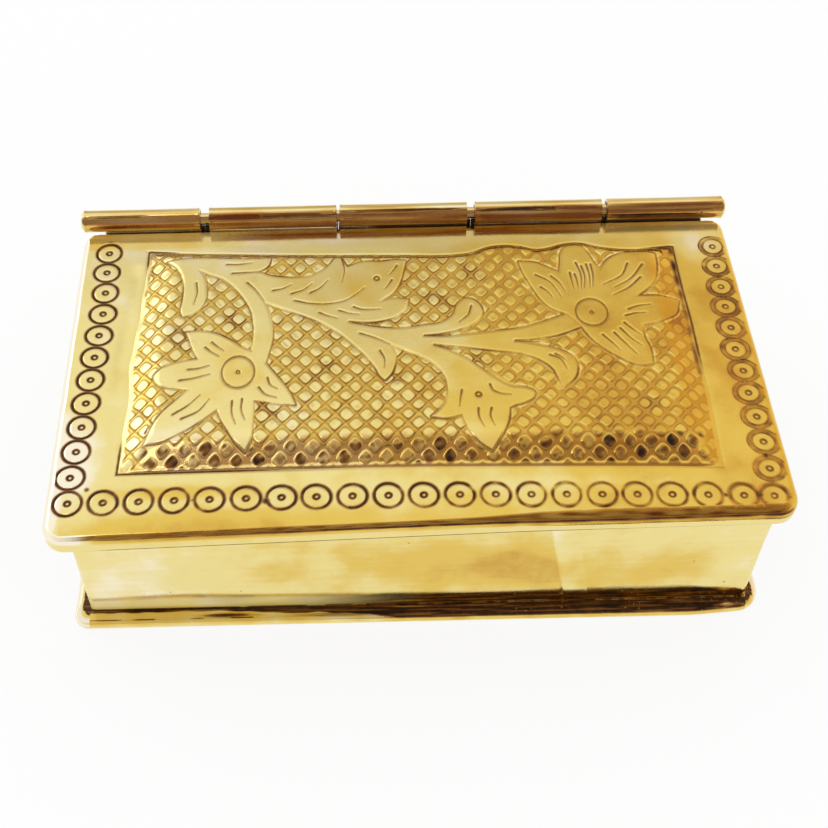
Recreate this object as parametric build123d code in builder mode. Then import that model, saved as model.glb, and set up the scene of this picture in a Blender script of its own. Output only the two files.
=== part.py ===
"""Brass paan box: a low rectangular betel box with a five-tube hinge along its back edge.

Millimetres. +X runs along the box, +Y towards the hinge, +Z up. The origin is the middle of
the base plate's underside. The lid is drawn closed.
"""
from build123d import *
import os

os.makedirs("parts", exist_ok=True)

# ---- driving dimensions ----------------------------------------------------------------
# lid
lid_length = 150.0
lid_width = 83.7             # back edge to the front edge's nominal line
lid_front_left = 2.1         # hand-cut front edge: its left end lies this far forward,
lid_front_right = -0.5       # its right end this far back,
lid_front_bend = (20.0, -0.1)  # and it bends a little here (x, how far forward)
lid_edge_height = 4.3        # outer edge of the lid, underside to top face
lid_sheet_thickness = 1.2
lid_edge_round = 1.6         # rolled top edge
lid_front_corner = 4.5       # corner radii in plan
lid_back_corner = 3.0
lid_seam = 0.2               # closed lid above the rim of the walls

# raised panel of the lid, set by hand and a little out of square
panel_length = 121.8
panel_width = 63.7
panel_corner = 2.0
panel_offset = (0.9, 2.85)   # panel middle, from the middle of the lid
panel_turn = -0.83           # degrees
panel_rise = 2.3             # crown above the flat border
panel_slope = 9.0            # width of the sloping edge, in plan

# flat bar frame brazed under the lid sheet
frame_bar_width = 6.2
frame_inner_corner = 2.0

# walls
wall_height = 30.5
wall_thickness = 1.5
wall_corner = 1.0            # outer radius of the upright corners
wall_inner_corner = 0.4
wall_front_left = 0.4        # front wall beyond its nominal line, at its left end
wall_front_right = 0.9       # and at its right end
side_overhang = 3.8          # lid beyond the walls, at both ends
front_overhang = 3.2         # lid beyond the front wall
lap_width = 5.6              # brazed lap of the wall strip, on the front
lap_step = 0.3
lap_offset = 31.7            # middle of the lap, to the right of the middle of the box

# base plate
base_thickness = 3.0
foot_projection = 3.4        # rounded foot beyond the side and back walls
foot_front_left = 3.75       # and beyond the front wall's nominal line, filed by hand
foot_front_right = 3.2
foot_front_bend = (60.0, 4.3)  # here (x, how far forward) it bends back to the worn corner
foot_corner = 5.0
foot_left_corner = 3.0       # front corner at the left
foot_worn_corner = 5.5       # front corner at the right
foot_edge_round = 1.45

# hinge
hinge_radius = 2.65          # outside of the tubes
hinge_pin_radius = 1.4
pin_clearance = 0.05         # radial, in every tube
hinge_setback = 2.1          # axis behind the lid's back edge
hinge_lift = 2.0             # axis above the lid's top face
hinge_end_inset = 0.2        # tubes short of each end of the lid
knuckle_gaps = (2.1, 0.7, 1.8, 1.2)
knuckle_extra = 1.1          # each inner tube is longer than an even share
pin_head_height = 0.6
pin_head_radius = 2.0
hinge_plate_thickness = 1.0
hinge_running_gap = 0.3      # between the lid and the box's own hinge strip
strap_drop = 13.0            # hinge strip on the back wall, below the rim
tongue_end_inset = 0.8       # tongues short of each end of their tube
braze_film = 0.05            # film between a tube and the plate that carries it

# inside
partition_thickness = 1.0
partition_height = 25.0
leaf_bay_depth = 44.0        # clear depth of the front bay
partition_film = 0.1         # brazing film at the ends of the partitions

# ---- worked out ------------------------------------------------------------------------
wall_length = lid_length - 2 * side_overhang
wall_width = lid_width - front_overhang + hinge_running_gap
base_length = wall_length + 2 * foot_projection
wall_front = -wall_width / 2
wall_back = wall_width / 2
wall_top = base_thickness + wall_height

lid_bottom = wall_top + lid_seam
lid_top = lid_bottom + lid_edge_height
lid_front = wall_front - front_overhang
lid_back = lid_front + lid_width
lid_middle = (lid_front + lid_back) / 2
sheet_under = lid_top - lid_sheet_thickness

hinge_y = lid_back + hinge_setback
hinge_z = lid_top + hinge_lift
hinge_bore = hinge_pin_radius + pin_clearance
hinge_length = lid_length - 2 * hinge_end_inset
knuckle_count = len(knuckle_gaps) + 1
even_share = (hinge_length - sum(knuckle_gaps)) / knuckle_count
inner_count = knuckle_count - 2
inner_length = even_share + knuckle_extra
end_length = even_share - knuckle_extra * inner_count / 2

knuckle_lengths = [end_length] + [inner_length] * inner_count + [end_length]
knuckle_starts = [-hinge_length / 2]
for length, gap in zip(knuckle_lengths, knuckle_gaps):
    knuckle_starts.append(knuckle_starts[-1] + length + gap)
knuckle_spans = [(start, start + length) for start, length in zip(knuckle_starts, knuckle_lengths)]

written = {}


def save(part, name):
    """Label one finished piece and write it to its own STEP file."""
    part.label = name
    export_step(part, f"parts/{name}.step")
    written[name] = part.volume


def lid_outline(inset=0.0):
    """Plan of the lid, or the same plan drawn in by inset: the front edge a little bent."""
    half_length = lid_length / 2 - inset
    front = lid_front + inset
    back = lid_back - inset
    bend_x, bend_out = lid_front_bend
    with BuildSketch() as outline:
        with BuildLine():
            Polyline(
                (-half_length, front - lid_front_left), (bend_x, front - bend_out),
                (half_length, front - lid_front_right),
                (half_length, back), (-half_length, back), close=True,
            )
        make_face()
        ends = outline.vertices().group_by(Axis.X)
        for end in (0, -1):
            fillet(ends[end].sort_by(Axis.Y)[0], lid_front_corner - inset)
            fillet(ends[end].sort_by(Axis.Y)[-1], lid_back_corner - inset)
    return outline.sketch


def wall_plan(inset, corner):
    """Plan of the walls drawn in by inset: the front a little forward of square."""
    half_length = wall_length / 2 - inset
    with BuildSketch() as plan:
        with BuildLine():
            Polyline(
                (-half_length, wall_front - wall_front_left + inset),
                (half_length, wall_front - wall_front_right + inset),
                (half_length, wall_back - inset), (-half_length, wall_back - inset), close=True,
            )
        make_face()
        fillet(plan.vertices(), corner)
    return plan.sketch


def panel_plane(height):
    """Plane of the raised panel, turned a little out of square, at a height."""
    return Plane(
        origin=(panel_offset[0], lid_middle + panel_offset[1], height), z_dir=(0, 0, 1)
    ).rotated((0, 0, panel_turn))


# ---- base plate: thick sheet whose rounded edge is the foot ----------------------------
with BuildPart() as base_plate:
    with BuildSketch() as foot_plan:
        with BuildLine():
            Polyline(
                (-base_length / 2, wall_front - foot_front_left),
                (foot_front_bend[0], wall_front - foot_front_bend[1]),
                (base_length / 2, wall_front - foot_front_right),
                (base_length / 2, wall_back + foot_projection),
                (-base_length / 2, wall_back + foot_projection), close=True,
            )
        make_face()
        ends = foot_plan.vertices().group_by(Axis.X)
        fillet(ends[0].sort_by(Axis.Y)[0], foot_left_corner)
        fillet(ends[-1].sort_by(Axis.Y)[0], foot_worn_corner)
        fillet(ends[0].sort_by(Axis.Y)[-1], foot_corner)
        fillet(ends[-1].sort_by(Axis.Y)[-1], foot_corner)
    extrude(amount=base_thickness)
    rims = base_plate.edges().group_by(Axis.Z)
    fillet(rims[0] + rims[-1], foot_edge_round)

save(base_plate.part, "base_plate")

# ---- walls: one strip bent into a band, its ends lapped on the front --------------------
lap_start = lap_offset - lap_width / 2
lap_end = lap_offset + lap_width / 2
lap_fronts = [
    wall_front - wall_front_left
    + (wall_front_left - wall_front_right) * (x + wall_length / 2) / wall_length
    for x in (lap_start, lap_end)
]
with BuildPart() as wall_band:
    with BuildSketch(Plane.XY.offset(base_thickness)):
        add(wall_plan(0, wall_corner))
        add(wall_plan(wall_thickness, wall_inner_corner), mode=Mode.SUBTRACT)
        with BuildLine():
            Polyline(
                (lap_start, lap_fronts[0] - lap_step), (lap_end, lap_fronts[1] - lap_step),
                (lap_end, lap_fronts[1] + lap_step), (lap_start, lap_fronts[0] + lap_step),
                close=True,
            )
        make_face()
    extrude(amount=wall_height)

save(wall_band.part, "wall_band")

# ---- partitions: a long one and two short ones, in the box ------------------------------
bay_length = wall_length - 2 * wall_thickness
bay_front = wall_front + wall_thickness
bay_back = wall_back - wall_thickness
partition_middle = base_thickness + partition_height / 2
long_front = bay_front + leaf_bay_depth
long_back = long_front + partition_thickness

with BuildPart() as partition_long:
    with BuildSketch(Plane.XY.offset(base_thickness)):
        with Locations((0, (long_front + long_back) / 2)):
            Rectangle(bay_length - 2 * partition_film, partition_thickness)
    extrude(amount=partition_height)
    top_edges = partition_long.edges().group_by(Axis.Z)[-1].filter_by(Axis.X)
    fillet(top_edges, partition_thickness * 0.4)

save(partition_long.part, "partition_long")

short_front = long_back + partition_film
short_back = bay_back - partition_film
for name, side in (("partition_left", -1), ("partition_right", 1)):
    with BuildPart() as partition_short:
        with BuildSketch(Plane.XY.offset(base_thickness)):
            with Locations((side * bay_length / 6, (short_front + short_back) / 2)):
                Rectangle(partition_thickness, short_back - short_front)
        extrude(amount=partition_height)
        top_edges = partition_short.edges().group_by(Axis.Z)[-1].filter_by(Axis.Y)
        fillet(top_edges, partition_thickness * 0.4)

    save(partition_short.part, name)

# ---- hinge: five tubes on one pin --------------------------------------------------------
for number, (start, end) in enumerate(knuckle_spans, start=1):
    with BuildPart() as knuckle:
        with BuildSketch(Plane.YZ.offset(start)):
            with Locations((hinge_y, hinge_z)):
                Circle(hinge_radius)
                Circle(hinge_bore, mode=Mode.SUBTRACT)
        extrude(amount=end - start)
        outer_rims = knuckle.edges().filter_by(GeomType.CIRCLE).filter_by(
            lambda edge: edge.radius > (hinge_radius + hinge_bore) / 2
        )
        fillet(outer_rims, (hinge_radius - hinge_bore) * 0.3)

    save(knuckle.part, f"knuckle_{number}")

# the pin, with both ends peened into low heads just outside the end tubes
shaft_half = hinge_length / 2 + braze_film
with BuildPart() as hinge_pin:
    with BuildSketch(Plane.YZ.offset(-shaft_half)):
        with Locations((hinge_y, hinge_z)):
            Circle(hinge_pin_radius)
    extrude(amount=2 * shaft_half)
    for side in (-1, 1):
        end_plane = Plane(origin=(side * shaft_half, hinge_y, hinge_z), z_dir=(side, 0, 0))
        with BuildSketch(end_plane):
            Circle(pin_head_radius)
        extrude(amount=pin_head_height)
    for group in (0, -1):
        head_rim = hinge_pin.edges().filter_by(GeomType.CIRCLE).group_by(Axis.X)[group]
        fillet(head_rim, pin_head_height * 0.7)

save(hinge_pin.part, "hinge_pin")


# the box's hinge strip: brazed on the back wall, a tongue rises under tubes 1, 3 and 5
strap_half = wall_length / 2 - wall_corner
tube_seat = hinge_radius + braze_film
with BuildPart() as hinge_strap_body:
    with BuildSketch(Plane.XZ.offset(-wall_back)):
        with Locations((0, wall_top - strap_drop / 2)):
            Rectangle(2 * strap_half, strap_drop)
        for start, end in knuckle_spans[0::2]:
            tongue_start = max(start + tongue_end_inset, -strap_half)
            tongue_end = min(end - tongue_end_inset, strap_half)
            with Locations(((tongue_start + tongue_end) / 2, (wall_top + hinge_z) / 2)):
                Rectangle(tongue_end - tongue_start, hinge_z - wall_top)
    extrude(amount=-hinge_plate_thickness)
    with BuildSketch(Plane.YZ.offset(-hinge_length / 2)):
        with Locations((hinge_y, hinge_z)):
            Circle(tube_seat)
    extrude(amount=hinge_length, mode=Mode.SUBTRACT)

save(hinge_strap_body.part, "hinge_strap_body")

# the lid's hinge tongues: brazed on its back edge, under tubes 2 and 4
tongue_low = lid_bottom + lid_seam
for number in (2, 4):
    start, end = knuckle_spans[number - 1]
    with BuildPart() as hinge_tongue:
        with BuildSketch(Plane.XZ.offset(-lid_back)):
            with Locations(((start + end) / 2, (tongue_low + hinge_z) / 2)):
                Rectangle(end - start - 2 * tongue_end_inset, hinge_z - tongue_low)
        extrude(amount=-hinge_plate_thickness)
        with BuildSketch(Plane.YZ.offset(start)):
            with Locations((hinge_y, hinge_z)):
                Circle(tube_seat)
        extrude(amount=end - start, mode=Mode.SUBTRACT)

    save(hinge_tongue.part, f"hinge_tongue_{number}")

# ---- lid sheet: edge turned down, panel raised from below --------------------------------
with BuildPart() as lid_sheet:
    with BuildSketch(Plane.XY.offset(lid_bottom)):
        add(lid_outline())
    extrude(amount=lid_edge_height)
    fillet(lid_sheet.edges().group_by(Axis.Z)[-1], lid_edge_round)
    with BuildSketch(Plane.XY.offset(lid_bottom)):
        add(lid_outline(lid_sheet_thickness))
    extrude(amount=lid_edge_height - lid_sheet_thickness, mode=Mode.SUBTRACT)
    # the panel pressed up, and the same hollow under it one sheet lower
    for foot, mode in ((lid_top, Mode.ADD), (sheet_under, Mode.SUBTRACT)):
        with BuildSketch(panel_plane(foot)):
            RectangleRounded(panel_length, panel_width, panel_corner)
        with BuildSketch(panel_plane(foot + panel_rise)):
            RectangleRounded(
                panel_length - 2 * panel_slope, panel_width - 2 * panel_slope, panel_corner
            )
        loft(mode=mode)

save(lid_sheet.part, "lid_sheet")

# ---- lid frame: flat bars brazed inside the turned edge ----------------------------------
frame_inset = lid_sheet_thickness + frame_bar_width
with BuildPart() as lid_frame:
    with BuildSketch(Plane.XY.offset(lid_bottom)):
        add(lid_outline(lid_sheet_thickness + braze_film))
        with Locations((0, lid_middle)):
            RectangleRounded(
                lid_length - 2 * frame_inset, lid_width - 2 * frame_inset,
                frame_inner_corner, mode=Mode.SUBTRACT,
            )
    extrude(amount=sheet_under - lid_bottom)

save(lid_frame.part, "lid_frame")

for name, volume in written.items():
    print(f"{name:20s} {volume:10.1f} mm3")
print(f"hinge axis y {hinge_y:.3f} z {hinge_z:.3f}")
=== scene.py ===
"""A brass paan box with a five-tube hinge: the chased lid, walls, foot, hinge and inside.

Lengths in the functions below are millimetres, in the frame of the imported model: +X along
the box, +Y towards the hinge, +Z up, origin in the middle of the base plate's underside.
Every mesh is a surface worked out on a grid, turned into metres when it is put in the scene.
"""

import math

import bpy
import numpy as np
from mathutils import Matrix


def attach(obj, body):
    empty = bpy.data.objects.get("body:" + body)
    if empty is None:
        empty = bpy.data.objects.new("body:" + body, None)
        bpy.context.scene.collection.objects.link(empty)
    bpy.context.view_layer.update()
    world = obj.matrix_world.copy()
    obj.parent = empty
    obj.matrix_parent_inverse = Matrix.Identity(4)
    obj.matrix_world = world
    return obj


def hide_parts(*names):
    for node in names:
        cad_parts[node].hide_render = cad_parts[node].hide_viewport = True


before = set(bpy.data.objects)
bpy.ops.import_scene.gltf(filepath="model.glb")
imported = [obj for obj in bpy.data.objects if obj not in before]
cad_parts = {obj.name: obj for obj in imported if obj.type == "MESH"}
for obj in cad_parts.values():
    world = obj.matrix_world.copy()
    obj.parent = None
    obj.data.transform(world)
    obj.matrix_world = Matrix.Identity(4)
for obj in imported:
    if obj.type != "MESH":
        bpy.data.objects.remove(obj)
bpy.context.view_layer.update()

bl_info = {
    "name": "Paan box",
    "version": (1, 0, 0),
    "blender": (4, 5, 0),
    "location": "3D View > Sidebar > Paan box",
    "description": "A chased brass paan box with a five-tube hinge",
    "category": "Add Mesh",
}

MM = 0.001

# ---- the fixed frame, in millimetres -----------------------------------------------------
# an outline's corners run anticlockwise from its front left; ROUNDS are their radii, and
# COUNTS the steps of each side of the mesh

# the lid, from its own middle: its front edge was cut by hand and bends a little
LID_MIDDLE = -1.75               # the lid's middle, before the box's middle
LID_LOW, LID_TOP = 33.7, 38.0
LID_X, LID_BACK = 75.0, 41.85
LID_CORNERS = ((-LID_X, -43.95), (20.0, -41.75), (LID_X, -41.35), (LID_X, LID_BACK),
               (-LID_X, LID_BACK))
LID_ROUNDS = (4.5, 150.0, 4.5, 3.0, 3.0)
LID_COUNTS = (355, 205, 300, 100, 300)
EDGE_ROUND, BACK_EDGE_ROUND = 1.6, 0.4
SHEET = 1.2
SHEET_UNDER = LID_TOP - SHEET
PANEL_ACROSS, PANEL_DEEP = 540, 285    # steps of the raised panel's mesh

# the wall strip, and the lapped seam on its front, which leans to the left
WALL_X, WALL_Y, WALL_THICK = 71.2, 40.4, 1.5
WALL_CORNERS = ((-WALL_X, -40.8), (WALL_X, -41.3), (WALL_X, WALL_Y), (-WALL_X, WALL_Y))
WALL_ROUNDS = (1.0, 1.0, 1.0, 1.0)
WALL_COUNTS = (568, 200, 284, 200)
WALL_LOW, WALL_TOP = 3.0, 33.5
LAP_FOOT, LAP_LEAN, LAP_HALF = 34.6, 0.204, 2.8

# the base plate: its front is filed by hand, square at the left and worn at the right
BASE_X, BASE_BACK = 74.6, 43.8
BASE_CORNERS = ((-BASE_X, -44.15), (60.0, -44.7), (BASE_X, -43.6), (BASE_X, BASE_BACK),
                (-BASE_X, BASE_BACK))
BASE_ROUNDS = (3.0, 60.0, 5.5, 5.0, 5.0)
BASE_COUNTS = (740, 120, 200, 210, 200)
BASE_EDGE = 1.45

# the hinge: where each tube runs from and to, the pin, and the plates that carry the tubes
HINGE_Y, HINGE_Z = 42.2, 40.0
TUBE_RADIUS, TUBE_BORE = 2.65, 1.45
TUBES = ((-74.8, -47.69), (-45.59, -15.73), (-15.03, 14.83), (16.63, 46.49), (47.69, 74.8))
PIN_RADIUS, PIN_HALF = 1.4, 74.85
STRAP_HALF, STRAP_DEEP, PLATE_TOP, PLATE_THICK = 70.2, 13.0, 39.4, 1.0

# the camera: its place, its yaw, pitch and roll in radians, and how far along the rendered
# picture the middle of its lens falls, in pixels
CAMERA_PLACE = (-14.07, -186.39, 252.18)
CAMERA_TURNS = (0.01491, 0.89844, -0.01298)
CAMERA_LENS, CAMERA_SENSOR = 57.02, 36.0
PICTURE_WIDTH, LENS_MIDDLE = 828, 360.808


# ---- shapes of the chased pattern, from the middle of the lid ----------------------------
# the raised panel's four sides: where each side lies along its length
FRONT_SIDE = (
    (-61.2, -35, 0, 25, 50, 61.3),
    (-28.2, -28.0, -28.1, -28.7, -29.5, -30.0),
)
BACK_SIDE = (
    (-59.3, -50, -40, -30, -20, -10, 0, 10, 15, 19, 22, 27, 30, 33, 36, 41, 45, 50, 61.9),
    (35.4, 34.6, 34.1, 33.6, 33.2, 32.9, 32.6, 32.3, 32.9, 34.6, 35.1, 34.5, 33.5, 33.9,
     34.9, 35.2, 33.8, 32.9, 33.3),
)
LEFT_SIDE = (
    (-28.2, -22, -15, -10, -5, 0, 5, 10, 15, 20, 25, 35.4),
    (-61.2, -61.0, -60.7, -60.3, -60.6, -61.0, -60.6, -60.3, -59.8, -59.8, -59.5, -59.3),
)
RIGHT_SIDE = (
    (-30.0, -10, 0, 10, 20, 33.3),
    (61.3, 62.0, 61.9, 62.0, 61.8, 61.9),
)

# each family of ruled grooves: its line number as a cubic in x / 60 and y / 30
RULINGS = (
    (-0.0574, -13.7368, 6.2253, 0.0629, 0.0203, -0.0914, -0.0344, 0.0722, -0.0338, 0.0042),
    (-0.425, 14.282, 6.0167, 0.2695, 0.1594, -0.0624, -0.0119, 0.0616, -0.3298, -0.2746),
)
RULING_PITCH = 3.26

# the plain metal of the spray, as runs that meet at sharp points
LEFT_FLOWER = (
    ((-36.1, 22.7), (-34.5, 20.8), (-32.5, 17.5), (-31.2, 14), (-30.4, 10), (-30.2, 6),
     (-30.9, 2), (-31.6, -1.3)),
    ((-31.6, -1.3), (-29.5, -4.5), (-27.2, -8), (-25.8, -11), (-25.2, -12.9)),
    ((-25.2, -12.9), (-28, -12.5), (-31, -11.8), (-33.9, -11.3)),
    ((-33.9, -11.3), (-33.9, -14), (-34, -18), (-34.3, -22), (-35.3, -24.2)),
    ((-35.3, -24.2), (-37, -22.5), (-39, -19), (-40.5, -16), (-41.25, -13.5)),
    ((-41.25, -13.5), (-45, -16.8), (-48.5, -19.5), (-52, -21.5), (-56, -22)),
    ((-56, -22), (-55.5, -20.5), (-54.5, -17.5), (-52.5, -14), (-49.5, -10.5), (-47.4, -8)),
    ((-47.4, -8), (-50, -7.7), (-53, -7), (-54.8, -5.5), (-55.2, -4), (-54, -2.5),
     (-52, -1.2), (-49, -0.2), (-46, 0.3)),
    ((-46, 0.3), (-47.5, 4), (-48.5, 7), (-49, 8)),
    ((-49, 8), (-46, 8.3), (-42, 7.2), (-39, 5.2), (-36.5, 3.2), (-34.6, 2.2)),
    ((-34.6, 2.2), (-34.2, 6), (-34.3, 10), (-35, 14), (-36.8, 18), (-39, 21.5),
     (-41.5, 24), (-45, 25.8), (-47, 27)),
    ((-47, 27), (-46, 29.5)),
    ((-46, 29.5), (-40, 28)),
    ((-40, 28), (-36.1, 22.7)),
)
TOP_LEAF = (
    ((-46.9, 26.9), (-45.8, 24.5), (-45.3, 21.5), (-45.2, 18.5), (-46.2, 15.5),
     (-48, 13.5), (-50, 12.8)),
    ((-50, 12.8), (-50.4, 14), (-50.2, 18), (-50.2, 22), (-50.8, 25.5), (-52, 28),
     (-54.5, 30.4)),
    ((-54.5, 30.4), (-50, 30.8), (-45, 30.8), (-40, 30.4), (-35, 30.3), (-31, 30.5)),
    ((-31, 30.5), (-31.5, 28), (-33.5, 26.3), (-36, 25.8)),
    ((-36, 25.8), (-40, 25)),
    ((-40, 25), (-46.9, 26.9)),
)
VINE = (
    ((-40, 25), (-36, 25.7), (-33.5, 25.8), (-31, 24.6), (-28, 24), (-25, 23.8),
     (-22, 24.2), (-20, 25.3), (-18, 27), (-16, 30.2)),
    ((-16, 30.2), (-15.2, 30.0), (-14.4, 28.5), (-13.6, 26.8)),
    ((-13.6, 26.8), (-10, 28.3), (-6, 28.3), (-2, 28.7), (-0.3, 28.5)),
    ((-0.3, 28.5), (-1, 25), (-1.8, 22), (-3.2, 19), (-6.4, 16)),
    ((-6.4, 16), (-3.5, 16.7), (-0.2, 16.3)),
    ((-0.2, 16.3), (-1, 13.5), (-3, 11.5), (-6, 10.3), (-10, 9.9), (-13, 10.0)),
    ((-13, 9.6), (-8, 8.3), (-3, 7.7), (0, 7.9), (2.7, 8.45), (7, 9.3), (9.5, 11.5),
     (11, 15), (12.5, 16.2), (14, 15.8), (15.5, 14), (15.8, 11.5), (14, 9), (10, 7),
     (5, 5.9), (2.8, 5.6)),
    ((2.8, 5.3), (8, 5.0), (13.5, 5.7), (18, 6.2), (24, 7), (30, 9), (34.5, 10.9)),
    ((34.5, 10.9), (37, 7)),
    ((37, 7), (32, 4.9), (27, 3.8), (22.3, 3.5)),
    ((22.3, 3.2), (27, 2), (31, 0.6), (34, -1.5), (34.7, -4), (34, -7), (31.3, -9.7)),
    ((31.3, -9.7), (30.7, -8), (29.5, -4.5), (27, -2), (24, -0.5), (19, 0.6), (15, 1.3),
     (10, 2.2), (4.7, 2.9)),
    ((4.7, 2.6), (8, 1), (11, -1), (14, -4), (17, -7), (20, -9.2), (24, -10.2),
     (24.9, -11), (24.6, -12.3), (23, -13.5), (20, -14.6), (19.3, -15)),
    ((19.3, -15), (18.8, -18), (17.5, -21.3), (15, -25.3)),
    ((15, -25.3), (12.5, -23.5), (10.5, -20), (9.5, -16.6)),
    ((9.5, -16.6), (6, -17.4), (3.1, -16.9)),
    ((3.1, -16.9), (5, -15), (6.6, -12), (7, -9), (6.3, -5.5), (4, -2), (0, 0.7),
     (-4.6, 3.2)),
    ((-4.6, 3.2), (-3.8, 0.5), (-4, -2.5), (-4.8, -5), (-6.2, -6.8)),
    ((-6.2, -6.8), (-7.3, -5.3), (-8, -3.5), (-10, 0), (-12.5, 3.2), (-16, 7.2),
     (-20, 10.3), (-25, 13), (-29, 15), (-32.5, 16.7)),
    ((-32.5, 16.7), (-36, 22)),
    ((-36, 22), (-40, 25)),
)
RIGHT_FLOWER = (
    ((34.5, 10.8), (31, 13), (29.3, 15.5), (28.5, 17.2), (27.3, 20.5), (26, 24.5),
     (25.5, 27.3)),
    ((25.5, 27.3), (29, 26.8), (32, 25), (34.3, 23.5)),
    ((34.3, 23.5), (34.9, 26.5), (35.5, 30), (37, 32.3), (38, 32.8), (39.5, 32.3),
     (41, 30), (42.3, 26.5), (43.4, 24)),
    ((43.4, 24), (46, 27.5), (50, 29.5), (54, 30.0), (56.8, 29.6)),
    ((56.8, 29.6), (56.6, 26), (55.5, 21.5), (53.5, 18.5), (50.5, 15.8)),
    ((50.5, 15.8), (55, 15.7), (60, 15.4)),
    ((60, 15.4), (58.5, 11), (56, 9), (53, 7.7), (50.3, 7.1)),
    ((50.3, 7.1), (50.2, 4), (51, 0), (50.8, -3.9)),
    ((50.8, -3.9), (49, -4.4), (47, -3.9), (44, -1.8), (41, 1), (38.7, 4), (37.3, 6.9)),
    ((37.3, 6.9), (36, 9)),
    ((36, 9), (34.5, 10.8)),
)
SPRAY = (LEFT_FLOWER, TOP_LEAF, VINE, RIGHT_FLOWER)

# veins and seams cut in the plain metal: each starts at a punched end and tapers
STROKES = (
    ((-43.2, 5), (-42, 3.8), (-40.6, 2.6)), ((-44.6, 3.6), (-43.2, 2.2), (-41.5, 1)),
    ((-48, -2.6), (-45.6, -2.3), (-43.5, -1.5)), ((-49.7, -5.6), (-46.5, -5), (-43.2, -3.9)),
    ((-50.5, -14.8), (-47.6, -12.6), (-45, -9.6)), ((-48.7, -16), (-45.2, -14), (-43, -10.7)),
    ((-56, -19), (-55.2, -17.2)), ((-38.3, -11.5), (-38.2, -15), (-37.4, -17.5)),
    ((-36.2, -11), (-36.3, -14), (-35.5, -16.5)), ((-31, -5.4), (-30.5, -7.2), (-28.9, -8.4)),
    ((-32.8, -8), (-31.5, -9.8), (-29, -10.8)), ((-47.5, 23), (-47.2, 20), (-47.8, 16.5)),
    ((-40.9, 28.6), (-38, 28.5), (-35.2, 29)), ((-39.6, 25.7), (-36, 25.9), (-33, 26)),
    ((-36.1, 22.7), (-34.5, 20.8), (-32.2, 17)), ((-14.8, 29.5), (-14.2, 26), (-14.8, 22.3)),
    ((-2.3, 27), (-3.1, 25.6), (-4.1, 24.2)), ((-3.6, 22.5), (-4.4, 21.1), (-5.3, 19.8)),
    ((-25.5, 16.8), (-22, 15.8), (-18, 15.6), (-14, 16.6), (-11.5, 18.6), (-9.8, 20.4)),
    ((-30.3, 20), (-28, 20.6), (-26.2, 21.8)), ((-26.2, 18.9), (-23.4, 20.1), (-21.5, 22)),
    ((-22, 19), (-19.8, 20.5), (-17.9, 23)), ((-20, 13), (-18.2, 12), (-16, 11.3)),
    ((-15.6, 13.5), (-13.4, 12.6), (-11.2, 12.3)),
    ((-12.4, 14.5), (-11, 13.8), (-8.6, 13.6), (-6.5, 13.7)),
    ((-7, 1.5), (-6.1, -1), (-6.2, -3.2)), ((-11.2, 6.6), (-8, 5.2), (-4.8, 3.3)),
    ((13.6, 14), (12.8, 11.5), (10.5, 9.2)), ((29.3, -0.9), (31.3, -2), (32.5, -4.8)),
    ((30.5, -0.7), (31.4, -1.3), (32.3, -2.2)), ((9.8, -10), (9.4, -12), (9, -14.2)),
    ((15.8, -8.6), (16.3, -10.2), (18, -11.2), (20, -11.4)),
    ((12.9, -15), (12.8, -17), (13.7, -19.7)), ((15.6, -15), (15.2, -17), (15.9, -19.5)),
    ((28.8, 23), (31.5, 21), (33.8, 16.2)), ((29.5, 19.2), (30.9, 17.8), (31.8, 16)),
    ((32.2, 22.5), (33.8, 20.5), (34.8, 17.8)), ((36.6, 23.5), (36.7, 21), (36.9, 18.6)),
    ((37.6, 23), (37.9, 21), (37.9, 18.7)), ((38.3, 26.6), (39, 23), (38.6, 18.5)),
    ((39.4, 25.5), (39.8, 22.5), (39.2, 18.6)), ((40.6, 26), (40.9, 22.5), (40.6, 19)),
    ((41.6, 26), (41.7, 22.5), (41.2, 19)), ((50, 26), (48.3, 22.5), (43.6, 19.6)),
    ((53.3, 25.6), (50, 21.2), (46, 18.6)), ((52.3, 21.6), (49, 18.3), (45.4, 16.3)),
    ((48.1, 11.9), (50, 12.7), (53.3, 13.2)), ((47.2, 10.0), (49.4, 10.6), (51.8, 10.8)),
    ((41.4, 4.5), (43.3, 1.9), (44.5, 0.1)), ((44, 5), (46, 1.8), (48, -1.3)),
    ((45.5, 6.3), (47.5, 3.2), (49.4, 1.2)), ((46.6, 7.9), (47.6, 6.6), (49.6, 4.4)),
    ((-13.4, 10.1), (-10.5, 9.6), (-7, 9.3)), ((2.8, 5.5), (6, 5.5), (9, 5.9)),
    ((22.3, 3.35), (25, 3.1), (27.5, 2.9)), ((4.7, 2.8), (7, 2.0), (9.5, 1.2)),
)
# the groove round each flower's middle: (x, y, half length, half width), and the punched
# dots: (x, y, radius)
FLOWER_EYES = ((-37.3, -3.6, 3.47, 4.35), (39.9, 11.2, 3.47, 4.0))
PUNCHES = ((-37.3, -3.6, 0.6), (39.9, 11.2, 0.6), (-7, 23.1, 0.9), (13.2, -11.3, 0.9))

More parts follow.
